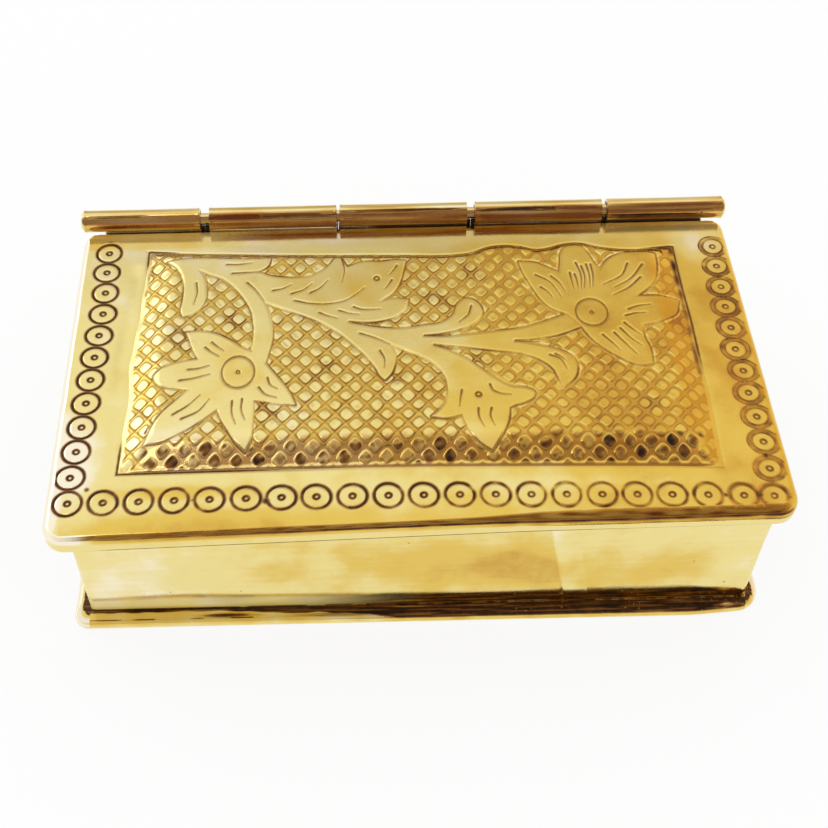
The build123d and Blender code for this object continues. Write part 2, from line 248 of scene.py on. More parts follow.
# the punched rings of the border: along the front, then up the left and the right side
FRONT_RINGS = (-70.35, -63.31, -56.2, -49.16, -42.12, -34.87, -27.82, -20.86, -13.7, -6.54,
               0.52, 7.68, 14.83, 21.89, 28.93, 35.97, 42.91, 49.84, 56.95, 64.02, 69.95)
FRONT_RING_LINE = ((-70, -21, 8, 36, 57, 70), (-35.1, -34.85, -35.2, -36.0, -36.75, -37.4))
SIDE_RINGS = (
    (-68.56, 35.21), (-68.54, 28.95), (-68.27, 22.56), (-68.2, 16.11), (-68.46, 9.69),
    (-68.8, 3.3), (-69.0, -3.06), (-69.3, -9.5), (-69.55, -15.9), (-70.0, -22.25),
    (-70.5, -28.8), (71.15, 32.86), (70.85, 26.52), (70.6, 20.03), (70.4, 13.86),
    (70.35, 7.56), (70.07, 1.28), (70.5, -4.85), (70.33, -10.94), (70.7, -17.4),
    (70.7, -23.95), (70.5, -30.7),
)


# ---- what has settled on the metal, and some painted light -------------------------------
# clouds on the lid: (x, y, half length, half width, how much more golden); the pale one at
# the left front edge is partly a painted highlight
TARNISH_PATCHES = (
    (34, 0, 26, 26, 0.06), (66, 5, 9, 30, 0.08), (68, 34, 10, 10, -0.30),
    (-70, -24, 8, 20, -0.33), (20, -33, 60, 3, -0.08), (0, 39, 70, 4, -0.10),
    (-50, -33, 26, 3, 0.26), (-68, 8, 6, 20, -0.06), (-12, 20, 18, 10, 0.05),
    (-38, -3, 18, 16, 0.07), (45, -33, 26, 3, -0.08), (58, 10, 8, 8, 0.14),
    (50, -20, 16, 9, 0.02), (55, 26, 8, 8, 0.04),
)

# dirt between the punched rings: (x, y, size, how dark)
SMUDGES = (
    (-30.9, -35.6, 1.3, 1.0), (-66.8, -31.8, 1.0, 0.7), (70.4, -27.4, 1.1, 0.9),
    (70.9, 16.8, 1.2, 0.7), (70.6, 23.3, 1.3, 0.8), (-68.3, 25.7, 0.9, 0.6),
    (-69.2, -12.6, 0.8, 0.6), (-69.8, -19.0, 0.9, 0.6), (-45.5, -35.0, 0.7, 0.6),
    (60.4, -36.9, 0.9, 0.7), (67.2, -37.1, 1.0, 0.8), (-69.0, 0.2, 0.8, 0.6),
)

# specks on the front wall: (x, z, size, how dark)
WALL_SPECKS = (
    (57.5, 17.5, 0.55, 0.35), (65.5, 9.0, 0.5, 0.35), (-53.0, 9.5, 0.45, 0.3),
    (-38.0, 9.5, 0.4, 0.3), (-2.5, 27.0, 0.6, 0.25), (12.0, 21.0, 0.4, 0.25),
)

# clouds on the front wall: (x, z, half length, half height, how much more golden)
WALL_PATCHES = (
    (22.0, 18.0, 19.0, 14.0, 0.34), (0.0, 18.0, 38.0, 20.0, 0.26),
    (34.0, 10.0, 22.0, 5.0, 0.16), (50.0, 15.0, 22.0, 12.0, 0.24),
    (-30.0, 14.0, 14.0, 9.0, 0.04), (68.0, 16.0, 9.0, 16.0, -0.12),
    (27.0, 15.0, 12.0, 9.0, 0.12), (-62.0, 14.0, 26.0, 20.0, -0.11),
    (-40.0, 8.0, 30.0, 8.0, -0.04),
)

# soot on the front of the foot: (x, gap from the wall, half length, half width, how much
# darker)
FOOT_MARKS = (
    (-41.5, 1.9, 9.0, 0.9, 0.9), (-18.0, 2.2, 16.0, 0.9, 0.4), (61.5, 2.4, 3.2, 0.9, 0.6),
    (67.0, 1.9, 2.0, 0.8, -0.9), (56.0, 0.7, 5.0, 0.22, -0.6), (49.0, 0.9, 4.0, 0.22, -0.6),
    (20.0, 1.2, 3.0, 0.3, -0.5), (0.0, 0.8, 9.0, 0.25, -0.5),
)

# one stain on each tube: (x, degrees about the pin, size, how dark)
HINGE_MARKS = (
    (-49.0, 190.0, 0.5, 0.3), (-30.0, 150.0, 0.4, 0.2), (4.0, 200.0, 0.4, 0.3),
    (30.0, 190.0, 0.5, 0.3), (69.7, 165.0, 0.42, 0.9),
)

# the tubes' metal, from rubbed bright to deep: duller than the lid's
HINGE_SHADES = (
    (250, 240, 210), (242, 222, 150), (230, 194, 108), (200, 146, 76), (150, 90, 46),
)

# for each tube its bands, partly tarnish and partly painted reflection of the room:
# (middle and half width in degrees about the pin, the span along the tube as two shares,
# how dark, how much more golden)
HINGE_BANDS = (
    ((121, 7, 0.00, 0.55, 0.70, 0.1), (168, 14, 0.12, 1.00, 0.08, 0.40)),
    ((129, 14, 0.42, 1.00, 0.92, 0.0), (125, 18, 0.00, 0.42, 0.16, 0.40),
     (172, 10, 0.00, 1.00, 0.26, 0.30)),
    ((114, 9, 0.00, 0.92, 0.88, 0.0), (142, 14, 0.08, 0.72, 0.34, 0.20),
     (170, 12, 0.00, 1.00, 0.30, 0.25)),
    ((124, 11, 0.00, 0.62, 0.84, 0.0), (117, 10, 0.60, 1.00, 0.34, 0.55),
     (165, 18, 0.00, 1.00, 0.40, 0.45)),
    ((113, 8, 0.10, 1.00, 0.40, 0.30), (148, 8, 0.00, 0.90, 0.50, 0.40),
     (182, 16, 0.00, 0.85, 0.84, 0.20)),
)


# ---- numbers and curves ------------------------------------------------------------------
def ease(t):
    """From 0 to 1 with level ends: three t squared less two t cubed, t held to 0..1."""
    t = np.clip(t, 0.0, 1.0)
    return t * t * (3 - 2 * t)


def bell(t):
    """A smooth hump, 1 at nought and nearly nought at one: e to the minus (1.8 t) squared."""
    return np.exp(-(1.8 * t) ** 2)


def through(t, knots, values):
    """A smooth curve through the knots: on each span a cubic whose end slopes are the
    slopes between its neighbours."""
    knots, values = np.asarray(knots, float), np.asarray(values, float)
    slope = np.gradient(values, knots)
    t = np.clip(t, knots[0], knots[-1])
    i = np.clip(np.searchsorted(knots, t) - 1, 0, len(knots) - 2)
    span = knots[i + 1] - knots[i]
    u = (t - knots[i]) / span
    return (
        (1 + 2 * u) * (1 - u) ** 2 * values[i] + u * (1 - u) ** 2 * span * slope[i]
        + u * u * (3 - 2 * u) * values[i + 1] - u * u * (1 - u) * span * slope[i + 1]
    )


def run(points):
    """Points along a smooth curve through the given ones, about half a millimetre apart."""
    step = 0.5
    points = np.asarray(points, float)
    along = np.concatenate([[0], np.cumsum(np.hypot(*np.diff(points, axis=0).T))])
    t = np.linspace(0, along[-1], max(2, int(along[-1] / step) + 1))
    if len(points) == 2:
        return np.stack([np.interp(t, along, points[:, k]) for k in (0, 1)], 1)
    return np.stack([through(t, along, points[:, k]) for k in (0, 1)], 1)


def chance(i, j, salt):
    """A number from 0 to 1 fixed by two whole numbers: the fraction left of a large sine."""
    wave = np.sin(i * 127.1 + j * 311.7 + salt * 74.7) * 43758.5453
    return wave - np.floor(wave)


def ripple(x, y, seed, length):
    """A slow uneven swell between about -1 and 1: a sum of plane waves of about the given
    length, each in its own direction and phase."""
    waves = 9
    draw = np.random.default_rng(seed)
    total = np.zeros(np.broadcast(x, y).shape)
    for _ in range(waves):
        turn, phase = draw.uniform(0, 2 * np.pi, 2)
        reach = 2 * np.pi / (length * draw.uniform(0.7, 1.6))
        total += np.sin(reach * (x * np.cos(turn) + y * np.sin(turn)) + phase)
    return total / waves ** 0.5 / 1.4


def from_line(x, y, line):
    """Distance from every point to a line of short runs, and how far along it, 0 to 1."""
    start, step = line[:-1], np.diff(line, axis=0)
    length = np.hypot(*step.T)
    reached = np.concatenate([[0], np.cumsum(length)])
    near = np.full(x.shape, 1e9)
    along = np.zeros(x.shape)
    for (px, py), (dx, dy), size, done in zip(start, step, length, reached):
        t = np.clip(((x - px) * dx + (y - py) * dy) / max(size, 1e-6) ** 2, 0, 1)
        gap = np.hypot(x - px - t * dx, y - py - t * dy)
        closer = gap < near
        near = np.where(closer, gap, near)
        along = np.where(closer, (done + t * size) / reached[-1], along)
    return near, along


def outside(x, y, runs, reach):
    """Signed distance to a closed outline, less than nought inside: the distance to its
    line, with the sign of the count of crossings to the right of the point. Points
    further off than reach keep the value reach."""
    line = np.concatenate([run(r) for r in runs] + [np.array(runs[0][:1], float)])
    result = np.full(x.shape, reach)
    low, high = line.min(0) - reach, line.max(0) + reach
    close = (x > low[0]) & (x < high[0]) & (y > low[1]) & (y < high[1])
    px, py = x[close], y[close]
    gap, _ = from_line(px, py, line)
    inside = np.zeros(px.shape, bool)
    for (ax, ay), (bx, by) in zip(line[:-1], line[1:]):
        if ay != by:
            crosses = ((ay > py) != (by > py)) & (px < (bx - ax) * (py - ay) / (by - ay) + ax)
            inside ^= crosses
    result[close] = np.where(inside, -gap, gap)
    return result


# ---- the lid's upper face ----------------------------------------------------------------
def panel_depth(x, y):
    """How far a point lies inside the panel's outline, along x or y, whichever is nearer
    to a side: (nearest distance, the same with the corners rounded and the back side
    counted double, where the pillow is steeper)."""
    sides = np.stack([
        y - through(x, *FRONT_SIDE), through(x, *BACK_SIDE) - y,
        x - through(y, *LEFT_SIDE), through(y, *RIGHT_SIDE) - x,
    ])
    nearest = sides.min(0)
    blend = 1.6
    steeper = np.array([1.0, 2.2, 1.0, 1.15]).reshape((4,) + (1,) * x.ndim)
    soft = -blend * np.log(np.exp(-np.clip(sides * steeper, -20, 40) / blend).sum(0))
    return nearest, soft


def pillow(soft):
    """Height of the pressed panel above the border, from the distance inside its outline:
    a plain slope over a span, easing off over another span into the level crown."""
    sizes = bpy.context.scene.paan_lid
    plain, easing = sizes.slope / MM * 0.5, sizes.slope / MM * 0.5
    steep = sizes.crown / MM / (plain + easing / 2)
    t = np.clip((soft - plain) / easing, 0, 1)
    return steep * (np.clip(soft, 0, plain) + easing * (t - t ** 3 + t ** 4 / 2))


def hatch(x, y):
    """(height, darkness, tarnish) of the ruled ground. The distance to the nearest line of
    each family is the fraction of its line number times the pitch; the two are joined by a
    soft minimum, so that the cells between have round corners. Each cell leans its own way.
    The grooves are amber, soiled here and there, with a brown line round each cell; at the
    left each cell's lower edges carry painted shade, and at the right its lower left edge a
    painted highlight. On the sloping front the cells are painted dark and the grooves left
    bright, a painted reflection of the dim room."""
    u, v = x / 60, y / 30
    terms = (1, u, v, u * u, u * v, v * v, u ** 3, u * u * v, u * v * v, v ** 3)
    gaps, cells, sides = [], [], []
    for k, ruling in enumerate(RULINGS):
        number = sum(c * t for c, t in zip(ruling, terms)) - 0.5
        line = np.round(number)
        number = number + 0.045 * ripple(x, y, 40 + k, 7.0) + 0.05 * (chance(line, 3, k) - 0.5)
        sides.append((number - np.round(number)) * RULING_PITCH)
        gaps.append(np.abs(sides[k]))
        cells.append(np.floor(number))
    soft = 0.36
    gap = -soft * np.log(sum(np.exp(-g / soft) for g in gaps))
    half = 0.40 + 0.08 * ripple(x, y, 44, 11.0) + 0.10 * (chance(cells[0], cells[1], 5) - 0.5)
    groove = 1 - ease((gap - half + 0.16) / 0.40)
    lean = sum((chance(cells[0], cells[1], 1 + k) - 0.5) * (gaps[k] - 0.8) for k in (0, 1))
    slope = ease((y + 29.6) / 1.2) * ease((-21.6 - y + 1.2 * ripple(x, y, 48, 9.0)) / 1.6)
    slope = slope * ease((x + 58) / 3) * ease((60 - x) / 3)
    height = -(0.09 + 0.06 * slope) * groove + 0.08 * lean * (1 - groove)

    # each cell's rim: brown where it meets the groove; painted shade on its lower edges at the
    # left, and a painted highlight on its lower left edge at the right
    right = ease((x - 2) / 26)
    rim = bell((gap - half + 0.06) / 0.30)
    # painted shade along each cell's lower edges, used at the left
    below = np.maximum(*[bell((side - half + 0.02) / 0.34) * (side > 0) for side in sides])
    # a painted highlight on each cell's lower left edge, at the right: paler and with less dirt
    pale = bell((sides[1] - half - 0.10) / 0.22) * (sides[1] > 0) * ease((gaps[0] - half) / 0.3)
    pale = pale * right * ease(chance(cells[0], cells[1], 8) * 2 - 0.6)
    soiled = ease(ripple(x, y, 45, 8.0) * 0.6 + ripple(x, y, 49, 16.0) * 0.8 - 0.35)
    dirt = (0.15 - 0.06 * right) * groove + rim * (0.18 + 0.10 * ripple(x, y, 43, 5.0))
    # the darkness takes the painted shade of the cells' lower edges at the left
    dirt = dirt + 0.20 * below * (1 - right)
    dirt = dirt + soiled * (0.13 * groove + 0.16 * rim)
    tint = 0.20 * groove + 0.08 * rim - 0.5 * pale + (0.12 * right - 0.05) * (1 - groove)
    # on the sloping front, cells painted dark at random and grooves left bright: a painted
    # reflection of the dim room
    cell = 0.18 + 0.72 * chance(cells[0], cells[1], 6) ** 1.3 + 0.25 * ripple(x, y, 50, 2.0)
    bare = 1 - ease((gap - half - 0.04) / 0.35 + 0.5)
    slope_painted_reflection = np.clip(cell, 0.05, 1) * (1 - bare) + 0.04 * bare
    dirt = np.clip(dirt - 0.3 * pale, 0.0, 1)
    return height, dirt * (1 - slope) + slope_painted_reflection * slope, tint * (1 - slope) + 0.05 * slope


def tarnish(x, y):
    """How golden the lid has turned, from 0 pale to 1 copper: palest at the left and the
    back, deepest in the panel's right half and along the right border, with slow clouds.
    The paling to the left is partly a painted highlight of the window behind the left side,
    and the palest strip, at the front of the left edge, is a painted highlight."""
    # paler to the left: partly tarnish, partly a painted highlight of the window
    gold = 0.26 + 0.28 * ease((x + 45) / 100) - 0.10 * ease((y - 18) / 22)
    gold += 0.33 * bell(np.hypot((x + 42) / 60, (y + 42) / 8)) * ease((-35 - y) / 3)
    # the front of the left edge, palest: a painted highlight of the window
    gold -= 0.50 * ease((-71.0 - x) / 2.5) * ease((-8 - y) / 12)
    gold += 0.24 * ease((y - 35.4) / 1.4) * ease((-25 - x) / 25)
    for px, py, rx, ry, more in TARNISH_PATCHES:
        gold += more * bell(np.hypot((x - px) / rx, (y - py) / ry))
    return gold + 0.05 * ripple(x, y, 71, 26.0) + 0.04 * ripple(x, y, 72, 9.0)


def spray_cuts(x, y, depth):
    """(height, darkness, tarnish, scouring) of the work inside the panel, at a depth from
    its outline: the ruled ground, the cut outline of the spray and its veins, the groove
    round each flower's middle and the punched dots. The darkness carries the ruled ground's
    painted shade and reflection; on the right the tarnish carries painted highlights beside
    the veins and along the outline."""
    metal = np.full(x.shape, 3.0)
    for shape in SPRAY:
        metal = np.minimum(metal, outside(x, y, shape, 3.0))
    cut, tone, tint = hatch(x, y)
    plain = tint.copy()
    edge = ease((depth - 0.5) / 0.8)
    open_ground = ease((metal - 0.05) / 0.40) * edge
    line = bell((metal - 0.26) / 0.52)
    worn = 0.42 + 0.26 * ripple(x, y, 47, 10.0)
    level = cut * open_ground - 0.10 * line * edge - 0.02 * ease((metal + 0.4) / 0.7)
    shade = np.maximum(tone * open_ground, np.clip(worn, 0.12, 0.9) * line * edge)
    for points in STROKES:
        path = run(points)
        low, high = path.min(0) - 1.5, path.max(0) + 1.5
        close = (x > low[0]) & (x < high[0]) & (y > low[1]) & (y < high[1])
        gap, along = from_line(x[close], y[close], path)
        width = 0.56 - 0.22 * along
        stroke = bell(gap / width) * (1 - 0.3 * along)
        glint = bell((gap - width) / 0.34) * ease((path[0, 0] - 10) / 20)
        level[close] -= 0.10 * stroke
        shade[close] = np.maximum(shade[close], 0.62 * stroke)
        tint[close] -= 0.16 * glint
    for cx, cy, rx, ry in FLOWER_EYES:
        off = (np.hypot((x - cx) / rx, (y - cy) / ry) - 1) * (rx + ry) / 2
        groove = bell(off / 0.58)
        level -= 0.12 * groove
        shade = np.maximum(shade, 0.52 * groove)
    for cx, cy, radius in PUNCHES:
        off = np.hypot(x - cx, y - cy)
        dot = bell((off - 0.62 * radius) / (0.55 * radius))
        level -= 0.16 * dot
        shade = np.maximum(shade, 0.66 * dot)
    scoured = 0.95 * ease((-17.0 - y) / 4.0) * ease(-metal / 0.5)
    # a painted highlight along the outside of the spray's outline, on the right
    painted_edge_highlight = bell((metal - 0.70) / 0.36) * ease((x - 5) / 25)
    tint = np.where(metal < 0, tint - plain, tint * open_ground) - 0.3 * painted_edge_highlight
    return level, shade, 0.06 * (metal < 0) * ease((x - 10) / 30) + tint, scoured


def ring_cuts(x, y):
    """(cut, dirt, amber) of the punched rings, each from nought: a round groove, crisp
    inside and smeared outside, and a small ringed dot, tipped a little by the hand that
    held the punch, with smudges between them. Each point takes the stronger of its two
    nearest rings."""
    ring = bpy.context.scene.paan_lid.ring / MM
    rings = [(rx, float(through(rx, *FRONT_RING_LINE))) for rx in FRONT_RINGS]
    rings = np.array(rings + list(SIDE_RINGS))
    gap = np.hypot(x[:, None] - rings[:, 0], y[:, None] - rings[:, 1])
    order = np.argsort(gap, 1)[:, :2]
    pick = np.arange(len(x))
    groove, dirt, amber = (np.zeros(x.shape) for _ in range(3))
    spots = ripple(x, y, 46, 3.0)
    for which in order.T:
        near = gap[pick, which]
        dx, dy = x - rings[which, 0], y - rings[which, 1]
        tip = 2 * np.pi * chance(which, 5, 0)
        turn = np.arctan2(dy, dx)
        deep = 1 + 0.25 * np.cos(turn - tip)
        right = ease((rings[which, 0] + 25) / 60)
        front = ease((-30 - rings[which, 1]) / 4)
        wide = right * (1 - front * (1 - 0.5 * ease((rings[which, 0] - 52) / 14)))
        radius = ring * (1 + 0.02 * np.cos(2 * turn + tip))
        off = near - radius + 0.12 * wide
        smear = 0.46 + 0.18 * wide
        band = ease((off + 0.42 + 0.2 * wide) / 0.36)
        band = band * np.exp(-(np.clip(off, 0, None) / smear) ** 2) * (1 - 0.5 * wide)
        edges = np.maximum(bell((off - 0.58) / 0.28), bell((off + 0.42) / 0.28))
        band = np.maximum(band, 0.9 * wide * edges)
        dot = bell((near - 0.58) / 0.52)
        pit = bell(near / 1.05)
        groove = np.maximum(groove, np.maximum(bell(off / 0.52) * deep, 1.1 * pit))
        strong = 1.30 - 0.75 * right - 0.25 * front * (1 - right) + 0.30 * spots
        strong += 0.30 * right * ease((rings[which, 1] - 4) / 12)
        amber = np.maximum(amber, band * (0.4 * right + 0.6 * wide))
        dirt = np.maximum(dirt, band * np.clip(strong * deep, 0.2, 1))
        dirt = np.maximum(dirt, dot * np.clip(1.0 - 0.34 * right + 0.15 * spots, 0.2, 1))
    for sx, sy, size, strength in SMUDGES:
        dirt = np.maximum(dirt, strength * bell(np.hypot(x - sx, y - sy) / size))
    return groove, dirt, amber


def lid_face(x, y):
    """(height above the border, darkness, tarnish) of the lid's upper face. Pressed into
    the sheet is the pillow of the panel, with the spray in it and the punched rings round
    it. The darkness is dirt, with painted shade and reflection in the ruled ground, and the
    tarnish carries painted highlights in places. Where the metal is scoured its darkness
    goes below nought, unless dirt lies there."""
    depth, soft = panel_depth(x, y)
    height = pillow(soft) + 0.04 * ripple(x, y, 7, 38.0) * ease((depth + 1) / 4)
    height += 0.030 * ripple(x, y, 8, 24.0) * ease(-depth / 3)
    dark = np.zeros(x.shape)
    gold = tarnish(x, y)
    scoured = ease((y - 35.4) / 1.4) * (0.5 * ease((-25 - x) / 25) + 0.35 * ease((x - 28) / 25))

    # the trough beside the panel's left side
    left = through(y, *LEFT_SIDE)
    trough = bell((x - left + 2.2) / 2.6) * ease((30 - np.abs(y - 2)) / 6)
    height -= 0.16 * trough * (0.7 + 0.3 * np.sin(y / 4.1))

    ground = depth > 0.2
    if ground.any():
        level, shade, tint, rubbed = spray_cuts(x[ground], y[ground], depth[ground])
        height[ground] += level
        dark[ground] = shade
        gold[ground] += tint
        scoured[ground] = rubbed

    # the chased line round the panel, strongest at its two ends
    ends = np.maximum.reduce([
        ease((-16 - y) / 8) * ease((-10 - x) / 30), ease((y - 27) / 5) * ease((-50 - x) / 5),
        ease((x - 50) / 10) * (0.35 + 0.65 * ease((y + 6) / 8)),
    ])
    line = bell(depth / 0.5) * (0.2 + 0.8 * ends)
    height -= 0.15 * line
    dark = np.maximum(dark, line * (0.10 + 0.7 * ends))
    strip = (bell((depth - 0.9) / 1.3) * ease((x - 56) / 4) * ease((y + 14) / 10)
             + 0.7 * bell((depth - 0.7) / 0.9) * ease((y - 15) / 6))
    dark = np.maximum(dark, np.clip(0.40 + 0.2 * ripple(x, y, 57, 4.0), 0.1, 0.8) * strip)

    border = depth < -1.0
    if border.any():
        groove, dirt, amber = ring_cuts(x[border], y[border])
        height[border] -= 0.12 * groove
        gold[border] += 0.45 * amber
        dark[border] = np.maximum(dark[border], np.clip(dirt, 0, 1))
    dark -= scoured * (1 - ease(dark / 0.3))
    return height, np.clip(dark, -1, 1), np.clip(gold, 0, 1)


# ---- grids and meshes --------------------------------------------------------------------
def quads(rows, columns, around_rows=False, around_columns=False):
    """Corner numbers of the faces of a grid, each a step along the columns and then along
    the rows; a closed direction wraps round."""
    index = np.arange(rows * columns).reshape(rows, columns)
    if around_rows:
        index = np.concatenate([index, index[:1]], 0)
    if around_columns:
        index = np.concatenate([index, index[:, :1]], 1)
    return np.stack(
        [index[:-1, :-1], index[:-1, 1:], index[1:, 1:], index[1:, :-1]], -1
    ).reshape(-1, 4)


def grid_normals(points, around_rows=False, around_columns=False):
    """Unit normals of a grid: the cross product of its differences along the columns and
    along the rows."""

    def difference(axis, around):
        if around:
            return np.roll(points, -1, axis) - np.roll(points, 1, axis)
        return np.gradient(points, axis=axis)

    cross = np.cross(difference(1, around_columns), difference(0, around_rows))
    return cross / np.maximum(np.linalg.norm(cross, axis=-1, keepdims=True), 1e-12)


def weld(points, faces, extra=()):
    """Points in the same place, to a ten-thousandth of a millimetre, become one; extra
    arrays follow their points."""
    same = 1e-4
    key = np.round(points / same).astype(np.int64)
    _, first, back = np.unique(key, axis=0, return_index=True, return_inverse=True)
    return points[first], back.reshape(-1)[faces], [e[first] for e in extra]


def put(name, points, faces, body, material, replaces=(), marks=None, normals=None,
        sharp=None):
    """A mesh object from points in millimetres and faces of up to four corners: a corner
    that repeats the one before it is dropped, and so is a face left with fewer than three.
    marks are named numbers for each point: its darkness, which is dirt and in places painted
    shade, and its tarnish, which in places carries painted highlights. The shading follows
    the given normals, or else edges sharper than so many degrees stay sharp."""
    keep = faces != np.roll(faces, 1, axis=1)
    whole = keep.sum(1) >= 3
    faces, keep = faces[whole], keep[whole]
    corners = faces[keep]
    starts = np.concatenate([[0], np.cumsum(keep.sum(1))[:-1]])
    mesh = bpy.data.meshes.new(name)
    mesh.vertices.add(len(points))
    mesh.vertices.foreach_set("co", (points * MM).astype(np.float32).ravel())
    mesh.loops.add(len(corners))
    mesh.loops.foreach_set("vertex_index", corners.astype(np.int32))
    mesh.polygons.add(len(faces))
    mesh.polygons.foreach_set("loop_start", starts.astype(np.int32))
    mesh.update(calc_edges=True)
    mesh.shade_smooth()
    for mark, values in (marks or {}).items():
        layer = mesh.attributes.new(mark, "FLOAT", "POINT")
        layer.data.foreach_set("value", values.astype(np.float32).ravel())
    if normals is not None:
        mesh.normals_split_custom_set_from_vertices(normals.astype(np.float32))
    elif sharp is not None:
        mesh.set_sharp_from_angle(angle=math.radians(sharp))
    mesh.materials.append(material)
    piece = bpy.data.objects.new(name, mesh)
    bpy.context.scene.collection.objects.link(piece)
    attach(piece, body)
    if replaces:
        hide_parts(*replaces)
    return piece


def rounded_loop(corners, rounds, counts):
    """A closed outline with round corners, anticlockwise: (points, outward normals). Side k
    runs from the middle of corner k's arc to the middle of the next one's, in counts[k]
    equal steps: half an arc, a straight, half an arc. A corner may bend inwards."""
    corners, rounds = np.asarray(corners, float), np.asarray(rounds, float)
    ahead = np.roll(corners, -1, 0) - corners
    ahead /= np.linalg.norm(ahead, axis=1, keepdims=True)
    heading = np.arctan2(ahead[:, 1], ahead[:, 0])
    half = ((heading - np.roll(heading, 1) + np.pi) % (2 * np.pi) - np.pi) / 2
    rounds = np.where(half < 0, -rounds, rounds)
    reach = rounds * np.tan(half)
    points, normals = [], []
    for k, count in enumerate(counts):
        j = (k + 1) % len(corners)
        out = np.array([ahead[k, 1], -ahead[k, 0]])
        start = corners[k] + reach[k] * ahead[k]
        end = corners[j] - reach[j] * ahead[k]
        lengths = (rounds[k] * half[k], np.hypot(*(end - start)), rounds[j] * half[j])
        done = np.cumsum(lengths)
        t = np.arange(count) / count * done[2]
        before, after = np.clip(done[0] - t, 0, None), np.clip(t - done[1], 0, None)
        turn = heading[k] - before / rounds[k] + after / rounds[j]
        normal = np.stack([np.sin(turn), -np.cos(turn)], 1)
        place = start + np.clip(t - done[0], 0, lengths[1])[:, None] * ahead[k]
        bend = np.where(before > 0, rounds[k], np.where(after > 0, rounds[j], 0))[:, None]
        points.append(place + bend * (normal - out))
        normals.append(normal)
    return np.concatenate(points), np.concatenate(normals)


def inset_corners(corners, inset):
    """The corners of an outline drawn in by the same distance on every side."""
    corners = np.asarray(corners, float)
    ahead = np.roll(corners, -1, 0) - corners
    ahead /= np.linalg.norm(ahead, axis=1, keepdims=True)
    out = np.stack([ahead[:, 1], -ahead[:, 0]], 1)
    both = out + np.roll(out, 1, 0)
    return corners - inset * both * 2 / (both ** 2).sum(1, keepdims=True)


def panel_edge(side, t):
    """Points along one side of the panel, in the direction of the lid's loop."""
    if side in ("front", "back"):
        knots, values = FRONT_SIDE if side == "front" else BACK_SIDE
        x = knots[0] + (knots[-1] - knots[0]) * (t if side == "front" else 1 - t)
        return np.stack([x, through(x, knots, values)], -1)
    knots, values = RIGHT_SIDE if side == "right" else LEFT_SIDE
    y = knots[0] + (knots[-1] - knots[0]) * (t if side == "right" else 1 - t)
    return np.stack([through(y, knots, values), y], -1)


# ---- materials ---------------------------------------------------------------------------
class Shade:
    """One output of a shader node: what is added to it, taken off it or multiplied with it
    in a Python expression becomes a Math node."""

    def __init__(self, paint, socket):
        self.paint, self.socket = paint, socket

    def _sum(self, operation, first, second):
        return self.paint.node(
            "ShaderNodeMath", {"operation": operation}, {0: first, 1: second}
        )

    def __add__(self, other):
        return self._sum("ADD", self, other)

    __radd__ = __add__

    def __sub__(self, other):
        return self._sum("SUBTRACT", self, other)

    def __rsub__(self, other):
        return self._sum("SUBTRACT", other, self)

    def __mul__(self, other):
        return self._sum("MULTIPLY", self, other)

    __rmul__ = __mul__


class Paint:
    """A material or a world, and the one method that adds nodes to it."""

    def __init__(self, name, world=False):
        self.block = (bpy.data.worlds if world else bpy.data.materials).new(name)
        self.block.use_nodes = True
        self.tree = self.block.node_tree
        self.tree.nodes.clear()

    def node(self, kind, settings=None, inputs=None, output=0):
        """Add a node of a type, with its settings first and then its sockets' values or
        links; the result is one of its outputs."""
        made = self.tree.nodes.new(kind)
        for key, value in (settings or {}).items():
            setattr(made, key, value)
        for key, value in (inputs or {}).items():
            if isinstance(value, Shade):
                self.tree.links.new(value.socket, made.inputs[key])
            else:
                made.inputs[key].default_value = value
        return Shade(self, made.outputs[output]) if made.outputs else None

    def place(self):
        """A point's place on its own object."""
        return self.node("ShaderNodeTexCoord", output="Object")

    def rays(self):
        """Whether a ray is the camera's, a mirror's or a glass's: three outputs of 0 or 1."""
        return [self.node("ShaderNodeLightPath", output=name)
                for name in ("Is Camera Ray", "Is Glossy Ray", "Is Transmission Ray")]

    def noise(self, vector, scale, detail, rough, stretch=(1, 1, 1)):
        """Noise from about 0 to 1 on a vector, stretched along its axes."""
        turned = self.node("ShaderNodeMapping", {}, {"Vector": vector, "Scale": stretch})
        return self.node(
            "ShaderNodeTexNoise", {},
            {"Vector": turned, "Scale": scale, "Detail": detail, "Roughness": rough},
        )

    def spread(self, value, low, high, new_low=0.0, new_high=1.0):
        """The span low..high carried to new_low..new_high, and held there."""
        return self.node(
            "ShaderNodeMapRange", {"interpolation_type": "SMOOTHSTEP"},
            {"Value": value, "From Min": low, "From Max": high, "To Min": new_low,
             "To Max": new_high},
        )

    def mix(self, factor, first, second):
        """Two colours mixed by a factor."""
        return self.node(
            "ShaderNodeMix", {"data_type": "RGBA"}, {0: factor, 6: first, 7: second}, output=2
        )

    def ramp(self, value, stops):
        """A row of colours, evenly spaced from 0 to 1, mixed smoothly by a value."""
        colour = (*stops[0], 1)
        for k, stop in enumerate(stops[1:]):
            share = self.spread(value, k / (len(stops) - 1), (k + 1) / (len(stops) - 1))
            colour = self.mix(share, colour, (*stop, 1))
        return colour

    def finish(self, shader):
        """Close the material with its shader."""
        self.node("ShaderNodeOutputMaterial", {}, {"Surface": shader})
        return self.block


def rgb(red, green, blue):
    """A colour given as on a screen, 0 to 255, as the linear numbers a shader takes."""
    channels = np.array([red, green, blue]) / 255
    linear = np.where(channels <= 0.04045, channels / 12.92, ((channels + 0.055) / 1.055) ** 2.4)
    return tuple(float(c) for c in linear)


